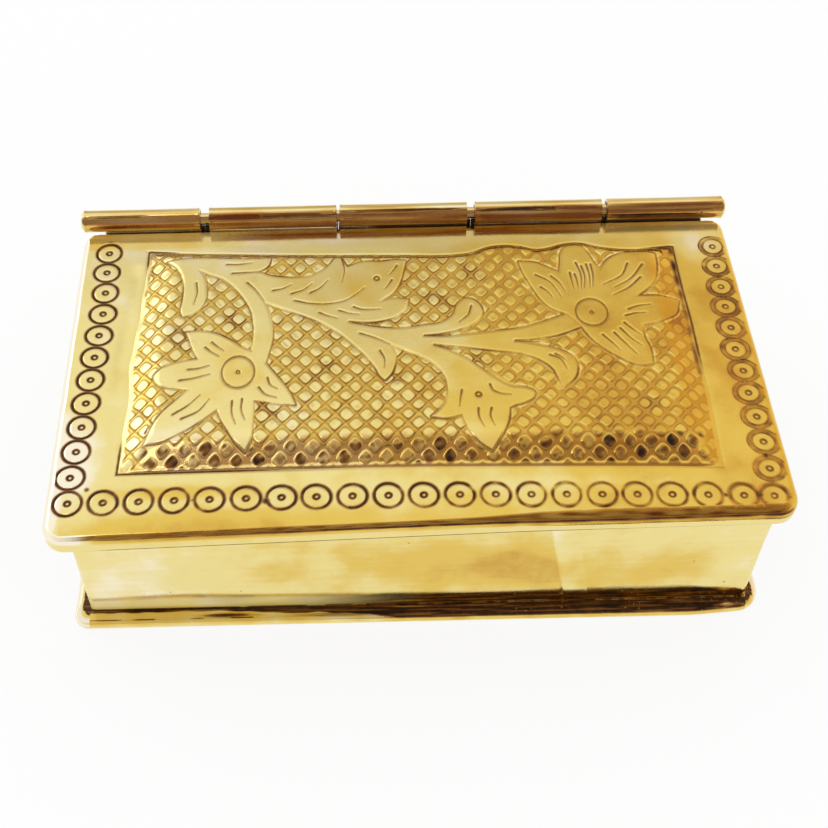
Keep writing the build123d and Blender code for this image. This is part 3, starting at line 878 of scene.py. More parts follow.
def brass(name, shades, stain, grain, rough, marked=True, gold=0.5, bright=1.0):
    """Polished brass. How golden it is comes from the piece's own mark, which in places
    carries painted highlights, or is one number; clouds and mottling move it about, and
    copper patches of tarnish lie on it, as deep as stain. Where the dark mark rises, from
    dirt and in places from painted shade and reflection, the metal goes dull, then brown,
    then black, and below nought it is scoured and mirrors less. Fine scratches run along the
    grain in the roughness and the relief; bright is the share of it that mirrors."""
    colours = bpy.context.scene.paan_colours
    paint = Paint(name)
    place = paint.place()
    if marked:
        gold = paint.node("ShaderNodeAttribute", {"attribute_name": "gold"}, output="Fac")
    cloud = paint.noise(place, 42, 4, 0.6)
    mottle = paint.noise(place, 230, 3, 0.6)
    tone = gold + (cloud - 0.5) * 0.24 + (mottle - 0.5) * 0.22
    colour = paint.ramp(tone, shades)
    patch = paint.spread(paint.noise(place, 75, 5, 0.68), 0.62, 0.80, 0.0, stain)
    colour = paint.mix(patch, colour, (*tuple(colours.copper), 1))
    scratch = paint.noise(place, 1100, 2, 0.5, grain)
    roughness = (
        paint.spread(mottle, 0.3, 0.8, rough, rough + 0.05)
        + paint.spread(scratch, 0.50, 0.80, 0.0, 0.06) + patch * 0.16
    )
    relief = scratch * 0.5 + mottle * 1.0
    normal = paint.node(
        "ShaderNodeBump", {}, {"Height": relief, "Strength": 0.08, "Distance": 0.00010}
    )
    metallic = bright
    if marked:
        dark = paint.node("ShaderNodeAttribute", {"attribute_name": "dark"}, output="Fac")
        grit = (paint.noise(place, 800, 2, 0.6) - 0.5) * 0.24
        # the dark mark: dirt, and in places painted shade and reflection
        dirt = dark + grit * paint.spread(dark, 0.0, 0.2)
        dull = paint.spread(dirt, 0.04, 0.34)
        colour = paint.mix(paint.spread(dirt, 0.06, 0.60), colour, (*tuple(colours.brown), 1))
        black = paint.spread(dirt + (mottle - 0.5) * 0.3, 0.52, 1.0)
        colour = paint.mix(black, colour, (*tuple(colours.dirt), 1))
        roughness = roughness + dull * 0.34
        metallic = bright - dull * 0.25 - paint.spread(dark, -1.0, 0.0, 0.85, 0.0)
    return paint.finish(paint.node("ShaderNodeBsdfPrincipled", {}, {
        "Base Color": colour, "Roughness": roughness, "Normal": normal, "Metallic": metallic,
    }))


def brass_shades():
    """The five colours of the metal, from rubbed bright to tarnished deep."""
    colours = bpy.context.scene.paan_colours
    return [tuple(c) for c in (colours.cream, colours.pale, colours.gold, colours.amber,
                               colours.copper)]


# ---- settings ----------------------------------------------------------------------------
def length_setting(name, description, default):
    """A length that a user may change, in metres."""
    return bpy.props.FloatProperty(
        name=name, description=description, default=default, unit="LENGTH", min=0.0,
        precision=5
    )


def colour_setting(name, description, default):
    """A colour that a user may change."""
    return bpy.props.FloatVectorProperty(
        name=name, description=description, default=default, subtype="COLOR", size=3,
        min=0.0, max=1.0
    )


class LidSizes(bpy.types.PropertyGroup):
    """Sizes of the chased lid."""

    crown: length_setting("Crown", "Rise of the panel above the border", 0.0022)
    slope: length_setting("Slope", "Width of the panel's sloping edge, in plan", 0.0090)
    ring: length_setting("Ring", "Radius of a punched ring's groove", 0.0028)


class BoxSizes(bpy.types.PropertyGroup):
    """Sizes of the walls, the foot and the hinge."""

    dent: length_setting("Dent", "Depth of the unevenness of the walls", 0.00010)
    lap: length_setting("Lap", "Step of the lapped ends of the wall strip", 0.00012)
    burr: length_setting("Burr", "Lip left round the ends of the hinge tubes", 0.00006)


class BoxColours(bpy.types.PropertyGroup):
    """Colours of the metal and of what has settled on it; the brown and the dirt also
    colour painted shade.
    """

    cream: colour_setting("Cream brass", "Freshly rubbed brass", rgb(251, 241, 214))
    pale: colour_setting("Pale brass", "Bright yellow brass", rgb(240, 222, 146))
    gold: colour_setting("Golden brass", "Brass with a first tarnish", rgb(230, 196, 92))
    amber: colour_setting("Amber brass", "Brass with an old tarnish", rgb(206, 158, 62))
    copper: colour_setting("Copper", "Patches of deeper tarnish", rgb(160, 94, 46))
    brown: colour_setting("Brown", "Thin dirt in the grooves", rgb(136, 92, 40))
    dirt: colour_setting("Dirt", "Old polish and soot", rgb(50, 35, 24))


class StageSettings(bpy.types.PropertyGroup):
    """Light and floor."""

    window: bpy.props.FloatProperty(
        name="Window", description="Power of the soft lamp behind the left side",
        default=1.0, min=0.0,
    )
    sky: bpy.props.FloatProperty(
        name="Sky", description="Light from all round", default=0.97, min=0.0
    )


# ---- the lid -----------------------------------------------------------------------------
def lid_panel(name, columns, material, replaces):
    """One half of the raised panel. Between the four sides the plan is the sum of the two
    blends of opposite sides less the blend of the four corners; its height is the lid's
    face. A coarser grid one sheet lower closes it, joined by a strip of triangles."""
    u, v = np.meshgrid(np.linspace(0, 1, PANEL_ACROSS + 1), np.linspace(0, 1, PANEL_DEEP + 1))
    front, back = panel_edge("front", u), panel_edge("back", 1 - u)
    left, right = panel_edge("left", 1 - v), panel_edge("right", v)
    c00, c10 = panel_edge("front", np.array(0.0)), panel_edge("front", np.array(1.0))
    c01, c11 = panel_edge("back", np.array(1.0)), panel_edge("back", np.array(0.0))
    u1, v1 = u[..., None], v[..., None]
    plan = (
        (1 - v1) * front + v1 * back + (1 - u1) * left + u1 * right
        - ((1 - u1) * (1 - v1) * c00 + u1 * (1 - v1) * c10 + (1 - u1) * v1 * c01
           + u1 * v1 * c11)
    )
    height, dark, gold = lid_face(plan[..., 0], plan[..., 1])
    top = np.concatenate([plan, (LID_TOP + height)[..., None]], -1)
    top[..., 1] += LID_MIDDLE
    normals = grid_normals(top)
    _, soft = panel_depth(plan[..., 0], plan[..., 1])
    under = top.copy()
    under[..., 2] = SHEET_UNDER + pillow(soft) - 0.20 * dark * (soft > 1)

    top, normals, under, dark, gold = (a[:, columns] for a in (top, normals, under, dark, gold))
    rows, wide = top.shape[:2]
    step = 3
    low = under[::step, ::step]
    start = rows * wide
    fine = np.arange(start).reshape(rows, wide)
    coarse = start + np.arange(low[..., 0].size).reshape(low.shape[:2])
    faces = [quads(rows, wide), quads(*low.shape[:2])[:, ::-1] + start]
    for f, c in (
        (fine[0], coarse[0]), (fine[:, -1], coarse[:, -1]),
        (fine[-1, ::-1], coarse[-1, ::-1]), (fine[::-1, 0], coarse[::-1, 0]),
    ):
        f0, c0, c1 = f[:-1].reshape(-1, step), c[:-1], c[1:]
        f1 = f[1:].reshape(-1, step)
        for k in range(step):
            faces.append(np.stack([f0[:, k], c0, f1[:, k], f1[:, k]], 1))
        faces.append(np.stack([c0, c1, f1[:, -1], f1[:, -1]], 1))
    points = np.concatenate([top.reshape(-1, 3), low.reshape(-1, 3)])
    down = -grid_normals(low).reshape(-1, 3)
    plain = np.zeros(len(down))
    return put(
        name, points, np.concatenate(faces), "lid", material, replaces,
        {"dark": np.concatenate([dark.ravel(), plain]),
         "gold": np.concatenate([gold.ravel(), plain + 0.6])},
        normals=np.concatenate([normals.reshape(-1, 3), down]),
    )


def lid_border(name, material, replaces):
    """The flat border, its rolled edge and the turned-down rim: a profile carried round
    the lid. Its rows run from the panel's outline out to the edge, a quarter circle down,
    the rim, and back under the sheet to the outline. The roll is tight at the left of the
    front edge and wide at its right, and almost sharp along the back; at the front's right
    it is copper, and blackened along its foot. At the front's left end the roll is painted
    pale and mirrors less, a painted highlight, and a thin line of painted shade runs along
    the rim's lower edge."""
    outer, out = rounded_loop(LID_CORNERS, LID_ROUNDS, LID_COUNTS)
    front_count, sides = sum(LID_COUNTS[:2]), LID_COUNTS[2:]
    inner = np.concatenate([
        panel_edge(side, np.arange(count) / count)
        for side, count in zip(("front", "right", "back", "left"), (front_count, *sides))
    ])
    x, y = outer.T
    facing = np.clip(-out[:, 1], 0, 1)
    roll = 1.25 + 0.25 * ease((x + 10) / 25) + 0.85 * ease((x - 8) / 22)
    roll = EDGE_ROUND + facing * (roll - EDGE_ROUND) + 0.10 * ripple(x, y, 62, 14)
    roll = roll + np.clip(out[:, 1], 0, 1) ** 2 * (BACK_EDGE_ROUND - roll)
    flat_rows = 49
    start = outer - roll[:, None] * out
    t = np.linspace(0, 1, flat_rows)[:, None, None]
    plan = inner + t * (start - inner)
    height, dark, gold = lid_face(plan[..., 0], plan[..., 1])
    rows = [np.concatenate([plan, (LID_TOP + height)[..., None]], -1)]
    darks, golds = [dark], [gold]

    def row(inset, z, stain, tone):
        """Add a row this far in from the edge, with its darkness and its tarnish."""
        point = outer - np.broadcast_to(inset, len(x))[:, None] * out
        rows.append(np.column_stack([point, np.broadcast_to(z, len(x))])[None])
        darks.append(np.broadcast_to(stain, len(x))[None])
        golds.append(np.broadcast_to(tone, len(x))[None])

    front = ease((facing - 0.5) / 0.4)
    right = ease((x - 5) / 25)
    bare = tarnish(x, y)
    left_end = ease((x + 72) / 10)
    for degrees in np.arange(6, 91, 6):
        turn = math.radians(degrees)
        fade = 1 - degrees / 90
        across = ripple(0.35 * x, np.full(len(x), 5 * turn), 63, 2.4)
        black = bell((degrees - 60) / (22 - 7 * right))
        black = black * np.clip(0.9 + 0.3 * across, 0.2, 1)
        brown = ease((degrees - 8) / 14) * ease((66 - degrees) / 12)
        brown = brown * np.clip(0.20 - 0.18 * right + 0.22 * across, 0.02, 0.6)
        stain = np.clip(np.maximum(black * (0.55 + 0.45 * ease((x + 45) / 20)), brown), 0, 1)
        rolled = ease((degrees - 6) / 14)
        copper = gold[-1] + (bare - gold[-1]) * rolled + front * rolled * (0.1 + 0.10 * right)
        copper = copper + 0.12 * front * right * across
        # at the front's left end the roll is made palest and mirrors less: a painted highlight
        row(
            roll * (1 - math.sin(turn)),
            LID_TOP - roll * (1 - math.cos(turn)) + height[-1] * fade,
            stain * front * left_end - 0.9 * (1 - left_end) * front
            - 0.35 * right * front * rolled * ease((60 - degrees) / 15),
            np.clip(copper - 0.9 * (1 - left_end), 0, 1),
        )

    # the rim down to its lower edge and up its inner side: (inset, height above the lower
    # edge, darkness, tarnish), with a dark line of painted shade along the lower edge
    line = 0.75 * front * (1 - 0.8 * ease((x - 20) / 30)) * ease((x + 66) / 6)
    for inset, rise, stain, tone in (
        (0, 2.1, 0, 0.28), (0, 1.3, 0, 0.28), (0, 0.5, 0, 0.25), (0, 0.32, line, 0.3),
        (0.05, 0.14, line, 0.3), (0.2, 0, 0, 0.3), (0.9, 0, 0, 0.4), (1.12, 0.08, 0, 0.5),
        (SHEET, 0.3, 0, 0.6), (SHEET, SHEET_UNDER - LID_LOW, 0, 0.6),
    ):
        row(inset, LID_LOW + rise, stain, tone)

    # back under the sheet to the panel's outline
    under = np.linspace(0, 1, 5)[1:, None, None]
    low_plan = rows[-1][0, :, :2]
    low_plan = low_plan + under * (inner - low_plan)
    rows.append(np.concatenate([low_plan, np.full(low_plan.shape[:2] + (1,), SHEET_UNDER)], -1))
    darks.append(np.zeros(low_plan.shape[:2]))
    golds.append(np.full(low_plan.shape[:2], 0.6))
    points = np.concatenate(rows)
    points[..., 1] += LID_MIDDLE
    return put(
        name, points.reshape(-1, 3), quads(*points.shape[:2], True, True)[:, ::-1], "lid",
        material, replaces,
        {"dark": np.concatenate(darks), "gold": np.concatenate(golds)},
        normals=-grid_normals(points, around_columns=True).reshape(-1, 3),
    )


def wall_front(x):
    """How far forward the front wall stands at x: a plain slant from its left to its right."""
    (left_x, left_y), (right_x, right_y) = WALL_CORNERS[:2]
    return left_y + (right_y - left_y) * (x - left_x) / (right_x - left_x)


def lid_frame(name, material):
    """Flat bars brazed inside the turned edge: an oblong profile with eased edges, carried
    round the lid; its width is what the hand-cut edge leaves."""
    counts = (95, 55, 90, 150, 90)
    outer, out = rounded_loop(LID_CORNERS, LID_ROUNDS, counts)
    outer = outer - (SHEET + 0.05) * out
    half_x, front, back = 67.6, -34.45, 34.45
    inside, _ = rounded_loop(
        ((-half_x, front), (20, front), (half_x, front), (half_x, back), (-half_x, back)),
        (2,) * len(counts), counts,
    )
    low, high = LID_LOW + 0.05, SHEET_UNDER - 0.02
    rows = []
    for t, z, wave in (
        (0, high, 0), (0, low, 0), (0.25, low, 0.04), (0.5, low, 0.05), (0.75, low, 0.05),
        (0.95, low, 0), (0.985, low + 0.08, 0), (1, low + 0.3, 0), (1, high - 0.1, 0),
        (0.95, high, 0), (0.5, high, 0),
    ):
        x, y = (outer * (1 - t) + inside * t).T
        height = z + wave * np.clip(ripple(x, y, 31, 18), 0, None)
        rows.append(np.column_stack([x, y + LID_MIDDLE, np.broadcast_to(height, len(x))]))
    points = np.stack(rows)
    return put(
        name, points.reshape(-1, 3), quads(*points.shape[:2], True, True)[:, ::-1], "lid",
        material, ("lid_frame",), sharp=40,
    )


# ---- walls and foot ----------------------------------------------------------------------
def walls(name, material):
    """The wall strip: a closed oblong profile carried round a rounded rectangle. Its faces
    wander a little from flat, and a low step stands on the front where the ends lap."""
    sizes = bpy.context.scene.paan_box
    dent, lap = sizes.dent / MM, sizes.lap / MM
    loop, out = rounded_loop(WALL_CORNERS, WALL_ROUNDS, WALL_COUNTS)
    s = np.concatenate([[0], np.cumsum(np.hypot(*np.diff(loop, axis=0).T))])
    x, y = loop.T
    facing = ease(-(y + 39.8) / 0.8)
    rows, shades, golds = [], [], []
    for z in np.linspace(WALL_LOW, WALL_TOP, 61):
        level = z * np.ones_like(s)
        hold = ease((z - WALL_LOW) / 5) * ease((WALL_TOP - z) / 5)
        swell = ripple(s, level, 21, 30) - 0.6
        aside = x - LAP_FOOT + LAP_LEAN * (level - WALL_LOW)
        step_on = ease((LAP_HALF - np.abs(aside)) / 0.5 + 0.5) * facing
        inset = -dent * swell * hold - lap * step_on
        rows.append(np.column_stack([loop - inset[:, None] * out, np.full(len(x), z)]))
        side = np.abs(aside) - LAP_HALF
        crease = bell((side + 0.1) / 0.35) * ease((z - 15) / 6) * (aside > 0)
        crease += 1.6 * bell(side / 0.22) * ease((12 - z) / 3) * ease((z - 4.5) / 1) * (aside < 0)
        foot_line = bell((z - WALL_LOW) / 0.4) * ease((ripple(x, z, 27, 9.0) + 1.0) / 0.8)
        brushed = ease((ripple(0.06 * s, 3.0 * level, 25, 2.2) - 0.75) / 0.5)
        specks = sum(
            strength * bell(np.hypot(x - sx, z - sz) / size)
            for sx, sz, size, strength in WALL_SPECKS
        )
        shade = np.maximum.reduce([0.9 * foot_line, 0.13 * crease, 1.6 * specks, 0.03 * brushed])
        scoured = 0.95 * ease((9 - z) / 3) * ease((10 - x) / 50)
        shades.append((shade - scoured * (1 - ease(shade / 0.3))) * facing)
        gold = 0.27 + 0.03 * ripple(s, 6.0 * level, 23, 60)
        gold += 0.02 * ripple(0.10 * s, 3.0 * level, 24, 4) + 0.05 * ripple(s, level, 26, 12)
        for px, pz, wide, tall, more in WALL_PATCHES:
            gold += more * bell(np.hypot((x - px) / wide, (z - pz) / tall)) * facing
        on_lap = ease(-side / 0.5 + 0.5) * ease((aside + LAP_HALF) / 0.3)
        gold -= 0.22 * on_lap * (1 - 0.8 * ease((aside + 2) / 4)) * facing * ease((z - 4) / 6)
        # a band just above the foot is more golden: a painted reflection of the foot
        golds.append(np.minimum(gold, 0.62) + 0.30 * bell((z - WALL_LOW) / 1.6) * facing)
    for inset, z in ((0.2, WALL_TOP), (1.3, WALL_TOP), (WALL_THICK, WALL_TOP - 0.2),
                     (WALL_THICK, 25.0), (WALL_THICK, 14.0), (WALL_THICK, WALL_LOW)):
        corners = inset_corners(WALL_CORNERS, inset)
        rounds = np.maximum(np.array(WALL_ROUNDS) - inset, 0.4)
        point, outwards = rounded_loop(corners, rounds, WALL_COUNTS)
        wander = 0.06 * (inset >= WALL_THICK) * ripple(s, z * np.ones_like(s), 22, 24)
        point = point - np.abs(wander)[:, None] * outwards
        rows.append(np.column_stack([point, np.full(len(x), z)]))
        shades.append(0 * x)
        golds.append(0 * x + 0.6)
    points = np.stack(rows)
    return put(
        name, points.reshape(-1, 3), quads(*points.shape[:2], True, True), "box",
        material, ("wall_band",),
        {"dark": np.clip(np.stack(shades), -1, 1), "gold": np.clip(np.stack(golds), 0, 1)},
        sharp=38,
    )


def foot_soil(x, y, turn):
    """(darkness, tarnish) of the foot at so many degrees round its edge from below. Soot
    lies along the wall, wide at the front's right, streaked and speckled; a thin dark line
    runs apart from it at the left. Where no soot lies the metal is scoured."""
    aside = np.clip(np.abs(x) - WALL_X, 0, None)
    ahead = np.clip(wall_front(x) - y, 0, None)
    gap = np.hypot(aside, ahead)
    front = ease((ahead + 0.3) / 0.4) * (aside < 0.01)
    rugged = ripple(x, y, 51, 5)
    wide = 0.8 + 0.9 * ease((x + 45) / 20) + 2.4 * ease((x + 22) / 30) + 0.12 * rugged
    beside = 1.5 * ease((-31 - y + 2 * np.sign(x)) / 4) + 0.3 + 0.2 * rugged
    beside = np.where(ahead > 0, 1.25 + 0.3 * rugged, beside)
    wide = wide * front + beside * (1 - front)
    soot = 1 - ease((gap - wide) / 0.30 + 0.5)
    streak = ease((ripple(0.13 * x, 3.4 * y, 54, 2.0) - 0.15) / 0.5)
    sparkle = ease((ripple(x, y, 55, 0.9) - 1.0) / 0.4) * ease((x + 5) / 20)
    soot = 0.88 * soot * (1 - 0.46 * streak) * (1 - 0.7 * sparkle)
    seam = bell((gap - 0.1) / 0.22) * ease((ripple(x, 0 * x, 57, 3.0) + 0.2) / 0.5)
    soot = soot * (1 - 0.75 * seam * ease((x + 20) / 20))
    dash = ease(ripple(x, 0 * x, 53, 7.0) / 0.3)
    line = bell((gap - 2.55) / 0.24) * dash * ease((-x - 30) / 6) * front
    for middle, gap_middle, half_wide, half_tall, strength in FOOT_MARKS:
        mark = bell(np.hypot((x - middle) / half_wide, (gap - gap_middle) / half_tall))
        soot = soot + strength * mark * front
    soil = np.clip(np.maximum(soot, line), 0, 1)
    scoured = (0.85 - 0.30 * ease((x + 25) / 30)) * (1 - ease(soil / 0.4))
    rim = ease((gap - 1.6) / 0.8) * (1 - front)
    upper = ease((turn - 112) / 22)
    return (soil - scoured) * upper, 0.46 + 0.12 * ripple(x, y, 56, 8) - 0.44 * rim


def base(name, material):
    """The base plate and its foot: rows run from the middle of the underside out to the
    edge, round it, and back over the top to its middle. The front edge is square at the
    left and worn round at the right."""
    loop, out = rounded_loop(BASE_CORNERS, BASE_ROUNDS, BASE_COUNTS)
    x, y = loop.T
    facing = ease(-(y + 38) / 3.0)
    round_off = BASE_EDGE - facing * 0.85 * ease((-x - 5) / 30)
    under_tone, inside_tone = 0.30, 0.55
    rows, shades, golds = [], [], []

    def add(plan, z, turn=180.0, inside=False):
        """Add a row; under the foot and inside the walls its marks are plain."""
        rows.append(np.column_stack([plan, np.broadcast_to(z, len(plan))]))
        if inside or np.max(z) < 1.4:
            shade = np.zeros(len(plan))
            gold = shade + (inside_tone if inside else under_tone)
        else:
            shade, gold = foot_soil(*plan.T, turn)
        shades.append(shade)
        golds.append(gold)

    for share in (0, 0.35, 0.7, 0.93, 1.0):
        add((loop - BASE_EDGE * out) * share, 0.0)
    for degrees in np.arange(10, 171, 10):
        turn = math.radians(degrees)
        wear = 0.03 * np.clip(ripple(x, y, 52, 5), 0, None) * math.sin(turn)
        under = degrees < 90
        bend = np.full(len(x), BASE_EDGE) if under else round_off
        inset = bend * (1 - math.sin(turn)) + wear
        z = (BASE_EDGE * (1 - math.cos(turn)) if under
             else WALL_LOW - bend * (1 + math.cos(turn)))
        add(loop - inset[:, None] * out, z, degrees)

    # over the top: beside the edge the rows follow it, further in they are outlines of
    # their own, and the last ones shrink to a point in the middle
    def drawn_in(inset):
        """The plate's outline, drawn in."""
        rounds = np.maximum(np.array(BASE_ROUNDS) - inset, 0.3)
        return rounded_loop(inset_corners(BASE_CORNERS, inset), rounds, BASE_COUNTS)[0]

    for inset in np.linspace(0.0, 4.4, 31)[1:]:
        if inset < 1.7:
            add(loop - np.maximum(inset, round_off + 0.04 * inset)[:, None] * out, WALL_LOW)
        else:
            add(drawn_in(inset), WALL_LOW)
    for share in (1, 0.7, 0.35, 0):
        add(drawn_in(4.6) * share, WALL_LOW, inside=True)
    points, faces, (dark, gold) = weld(
        np.concatenate(rows), quads(len(rows), len(loop), False, True),
        [np.concatenate(shades), np.concatenate(golds)],
    )
    return put(name, points, faces, "box", material,
               ("base_plate",), {"dark": dark, "gold": np.clip(gold, 0, 1)}, sharp=50)


# ---- hinge -------------------------------------------------------------------------------
def tube(number, material):
    """One hinge tube: a closed profile turned about the pin. Its skin waves a little along
    it, and a thin lip stands round each end. Brown and black streaks and bands run along
    it, and they differ from tube to tube; they are partly tarnish and partly painted
    reflection of the room. Its underside is painted paler, to lighten its reflection in the
    lid, and its bore is painted dark, a painted shade."""
    start, end = TUBES[number - 1]
    lip = bpy.context.scene.paan_box.burr / MM
    skin = TUBE_RADIUS - lip
    along = np.concatenate([[0.0, 0.06, 0.18, 0.4], np.linspace(1, end - start - 1, 90),
                            end - start - np.array([0.4, 0.18, 0.06, 0.0])])
    radius = np.full(len(along), skin)
    radius[[0, -1]] = skin - 0.22
    radius[[1, -2]] = skin + 0.4 * lip
    radius[[2, -3]] = TUBE_RADIUS
    radius[[3, -4]] = skin + 0.5 * lip
    profile_x = np.concatenate([along, [end - start, 0.0]])
    profile_r = np.concatenate([radius, [TUBE_BORE, TUBE_BORE]])
    spokes = 120
    turn = np.arange(spokes) * 2 * np.pi / spokes
    x, a = np.meshgrid(start + profile_x, turn, indexing="ij")
    r = np.broadcast_to(profile_r[:, None], x.shape).copy()
    body = (np.arange(len(profile_x)) > 3) & (np.arange(len(profile_x)) < len(along) - 4)
    r[body] -= 0.02 * np.clip(ripple(0.3 * x, a * 2.6, 80 + number, 9)[body], 0, None)
    points = np.stack([x, HINGE_Y + r * np.cos(a), HINGE_Z + r * np.sin(a)], -1)
    degrees = np.degrees(a)
    streaks = ripple(0.07 * x, 3.0 * a * TUBE_RADIUS, 90 + number, 2.4)
    front = ease((degrees - 105) / 15) * ease((235 - degrees) / 14)
    share = (x - start) / (end - start)
    gold = 0.34 + 0.24 * ripple(0.12 * x, 2.0 * a * TUBE_RADIUS, 100 + number, 3.5)
    # more golden on the front, partly painted reflection of the room; past 200 degrees the
    # underside is painted paler, to lighten its reflection in the lid
    gold += (0.12 if number == 1 else 0.20) * front - 0.8 * ease((degrees - 200) / 20)
    # darker streaks on the front, and the bands below: partly tarnish, partly painted reflection
    # of the room
    worn = (0.16 * ease((streaks - 0.3) / 0.5) + 0.03) * front
    for middle, half, first, last, black, golden in HINGE_BANDS[number - 1]:
        band = ease((half - np.abs(degrees - middle + 5 * streaks)) / 9 + 0.5)
        jag = 0.10 * ripple(0.3 * x, 4.0 * a * TUBE_RADIUS, 110 + number, 2.0)
        band = band * ease((share - first + jag) / 0.16 + 0.5)
        band = band * ease((last - share + jag) / 0.16 + 0.5)
        worn = np.maximum(worn, black * band * (0.8 + 0.3 * streaks))
        gold += golden * band
    hole = HINGE_MARKS[number - 1]
    mark = bell(np.hypot(x - hole[0], r * (a - math.radians(hole[1]))) / hole[2]) * hole[3]
    # the bore is painted dark: painted shade
    inner = np.broadcast_to(profile_r[:, None] < TUBE_BORE + 0.01, x.shape)
    dark = np.maximum.reduce([worn, mark, 0.7 * inner])
    return put(
        f"hinge_tube_{number}", points.reshape(-1, 3),
        quads(*x.shape, True, True), "box" if number % 2 else "lid",
        material, (f"knuckle_{number}",),
        {"dark": np.clip(dark, 0, 1), "gold": np.clip(gold, 0, 1)}, sharp=42,
    )


def plate(name, spans, bottom, front, material, body, replaces):
    """A hinge plate standing on the back: its lower edge at one height, its upper edge at
    the height of each span, and hollowed there to a radius about the pin, so that it
    clears the tube or the bare pin. Two columns stand close together at every step, and
    the two skins, eased at their edges, meet round the rim."""
    back, eased, levels = front + PLATE_THICK, 0.12, 9
    x, top, hollow = [], [], []
    for low, high, height, radius in spans:
        count = 4 if high - low < 3 else 26
        x += list(np.linspace(low, high, count))
        top += [height] * count
        hollow += [radius] * count
    x, top, hollow = np.array(x), np.array(top), np.array(hollow)
    share = np.linspace(0, 1, levels)[:, None]

    def skin(y, drawn_in):
        """One skin of the plate at y, with its upper and lower edge drawn in."""
        reach = HINGE_Z - np.sqrt(np.clip(hollow ** 2 - (y - HINGE_Y) ** 2, 0, None))
        crest = np.minimum(top, reach) - drawn_in
        z = bottom + drawn_in + share * (crest - bottom - drawn_in)
        return np.stack(np.broadcast_arrays(x, y, z), -1)

    face, face_edge = skin(front, eased), skin(front + eased, 0.0)
    rear_edge, rear = skin(back - eased, 0.0), skin(back, eased)
    points = np.concatenate([face, face_edge[-1:], rear_edge[-1:], rear[::-1], rear_edge[:1],
                             face_edge[:1]])
    tall, wide = points.shape[:2]
    faces = [quads(tall, wide, True, False)]
    for column, step in ((0, 1), (wide - 1, -1)):
        ring = np.arange(tall) * wide + column
        near, far = ring[:levels], ring[levels + 2:-2][::-1]
        end = [np.stack([near[:-1], near[1:], far[1:], far[:-1]], 1),
               [[near[-1], ring[levels], ring[levels + 1], far[-1]],
                [far[0], ring[-2], ring[-1], near[0]]]]
        faces.append(np.concatenate(end)[:, ::step])
    px, _, pz = points.reshape(-1, 3).T
    # the dark mark: a brown that deepens to the right, painted to match the tubes' reflection in
    # the lid beside it, a painted reflection; and a painted shadow behind each bare stretch of
    # pin
    painted_gap_shadow = np.broadcast_to(hollow < TUBE_RADIUS, points.shape[:2]).ravel()
    dark = 0.06 + 0.04 * ripple(0.1 * px, 2 * pz, 68, 3) + 0.6 * ease((px + 12) / 8)
    dark = (dark + 0.9 * painted_gap_shadow) * ease(pz - WALL_TOP)
    return put(
        name, points.reshape(-1, 3), np.concatenate(faces), body, material,
        replaces, {"dark": np.clip(dark, 0, 1), "gold": 0.2 + 0.1 * ripple(px, pz, 67, 9)},
        sharp=40,
    )


def pin(name, material):
    """The pin: a profile turned about the hinge line, with a low domed head at each end."""
    head_radius, head_high, eased, spokes = 2.0, 0.6, 0.42, 48
    head = [(-PIN_HALF - head_high, 0.0)]
    head += [(-PIN_HALF - head_high + eased * (1 - math.sin(a)),
              head_radius - eased + eased * math.cos(a))
             for a in np.radians((90, 60, 30, 0))]
    head += [(-PIN_HALF, head_radius), (-PIN_HALF, PIN_RADIUS)]
    shank = [(x, PIN_RADIUS) for x in np.linspace(-PIN_HALF + 1, PIN_HALF - 1, 60)]
    px, pr = np.array(head + shank + [(-x, radius) for x, radius in reversed(head)]).T
    turn = np.arange(spokes) * 2 * np.pi / spokes
    x, a = np.meshgrid(px, turn, indexing="ij")
    r = np.broadcast_to(pr[:, None], x.shape)
    points = np.stack([x, HINGE_Y + r * np.cos(a), HINGE_Z + r * np.sin(a)], -1)
    points, faces, _ = weld(points.reshape(-1, 3), quads(*x.shape, False, True))
    return put(name, points, faces, "box", material,
               replaces=("hinge_pin",), sharp=50)


def stand(right, up, place):
    """The matrix of something at a place, with its right and up given; it looks the way
    opposite to right cross up."""
    pose = np.eye(4)
    pose[:3] = np.stack([right, up, np.cross(right, up), place], 1)
    return Matrix(pose.tolist())


# ---- stage -------------------------------------------------------------------------------
def add_camera():
    """The camera: its way ahead from yaw and pitch, then rolled about it."""
    yaw, pitch, roll = CAMERA_TURNS
    ahead = np.array([math.sin(yaw) * math.cos(pitch), math.cos(yaw) * math.cos(pitch),
                      -math.sin(pitch)])
    right = np.array([math.cos(yaw), -math.sin(yaw), 0.0])
    up = np.cross(right, ahead)
    side = math.cos(roll) * right + math.sin(roll) * up
    rise = -math.sin(roll) * right + math.cos(roll) * up
    data = bpy.data.cameras.new("camera")
    data.lens, data.sensor_width = CAMERA_LENS, CAMERA_SENSOR
    data.shift_x = (PICTURE_WIDTH / 2 - LENS_MIDDLE) / PICTURE_WIDTH
    data.clip_start, data.clip_end = 0.01, 100
    camera = bpy.data.objects.new("camera", data)
    scene = bpy.context.scene
    scene.collection.objects.link(camera)
    camera.matrix_world = stand(side, rise, np.array(CAMERA_PLACE) * MM)
    scene.camera = camera


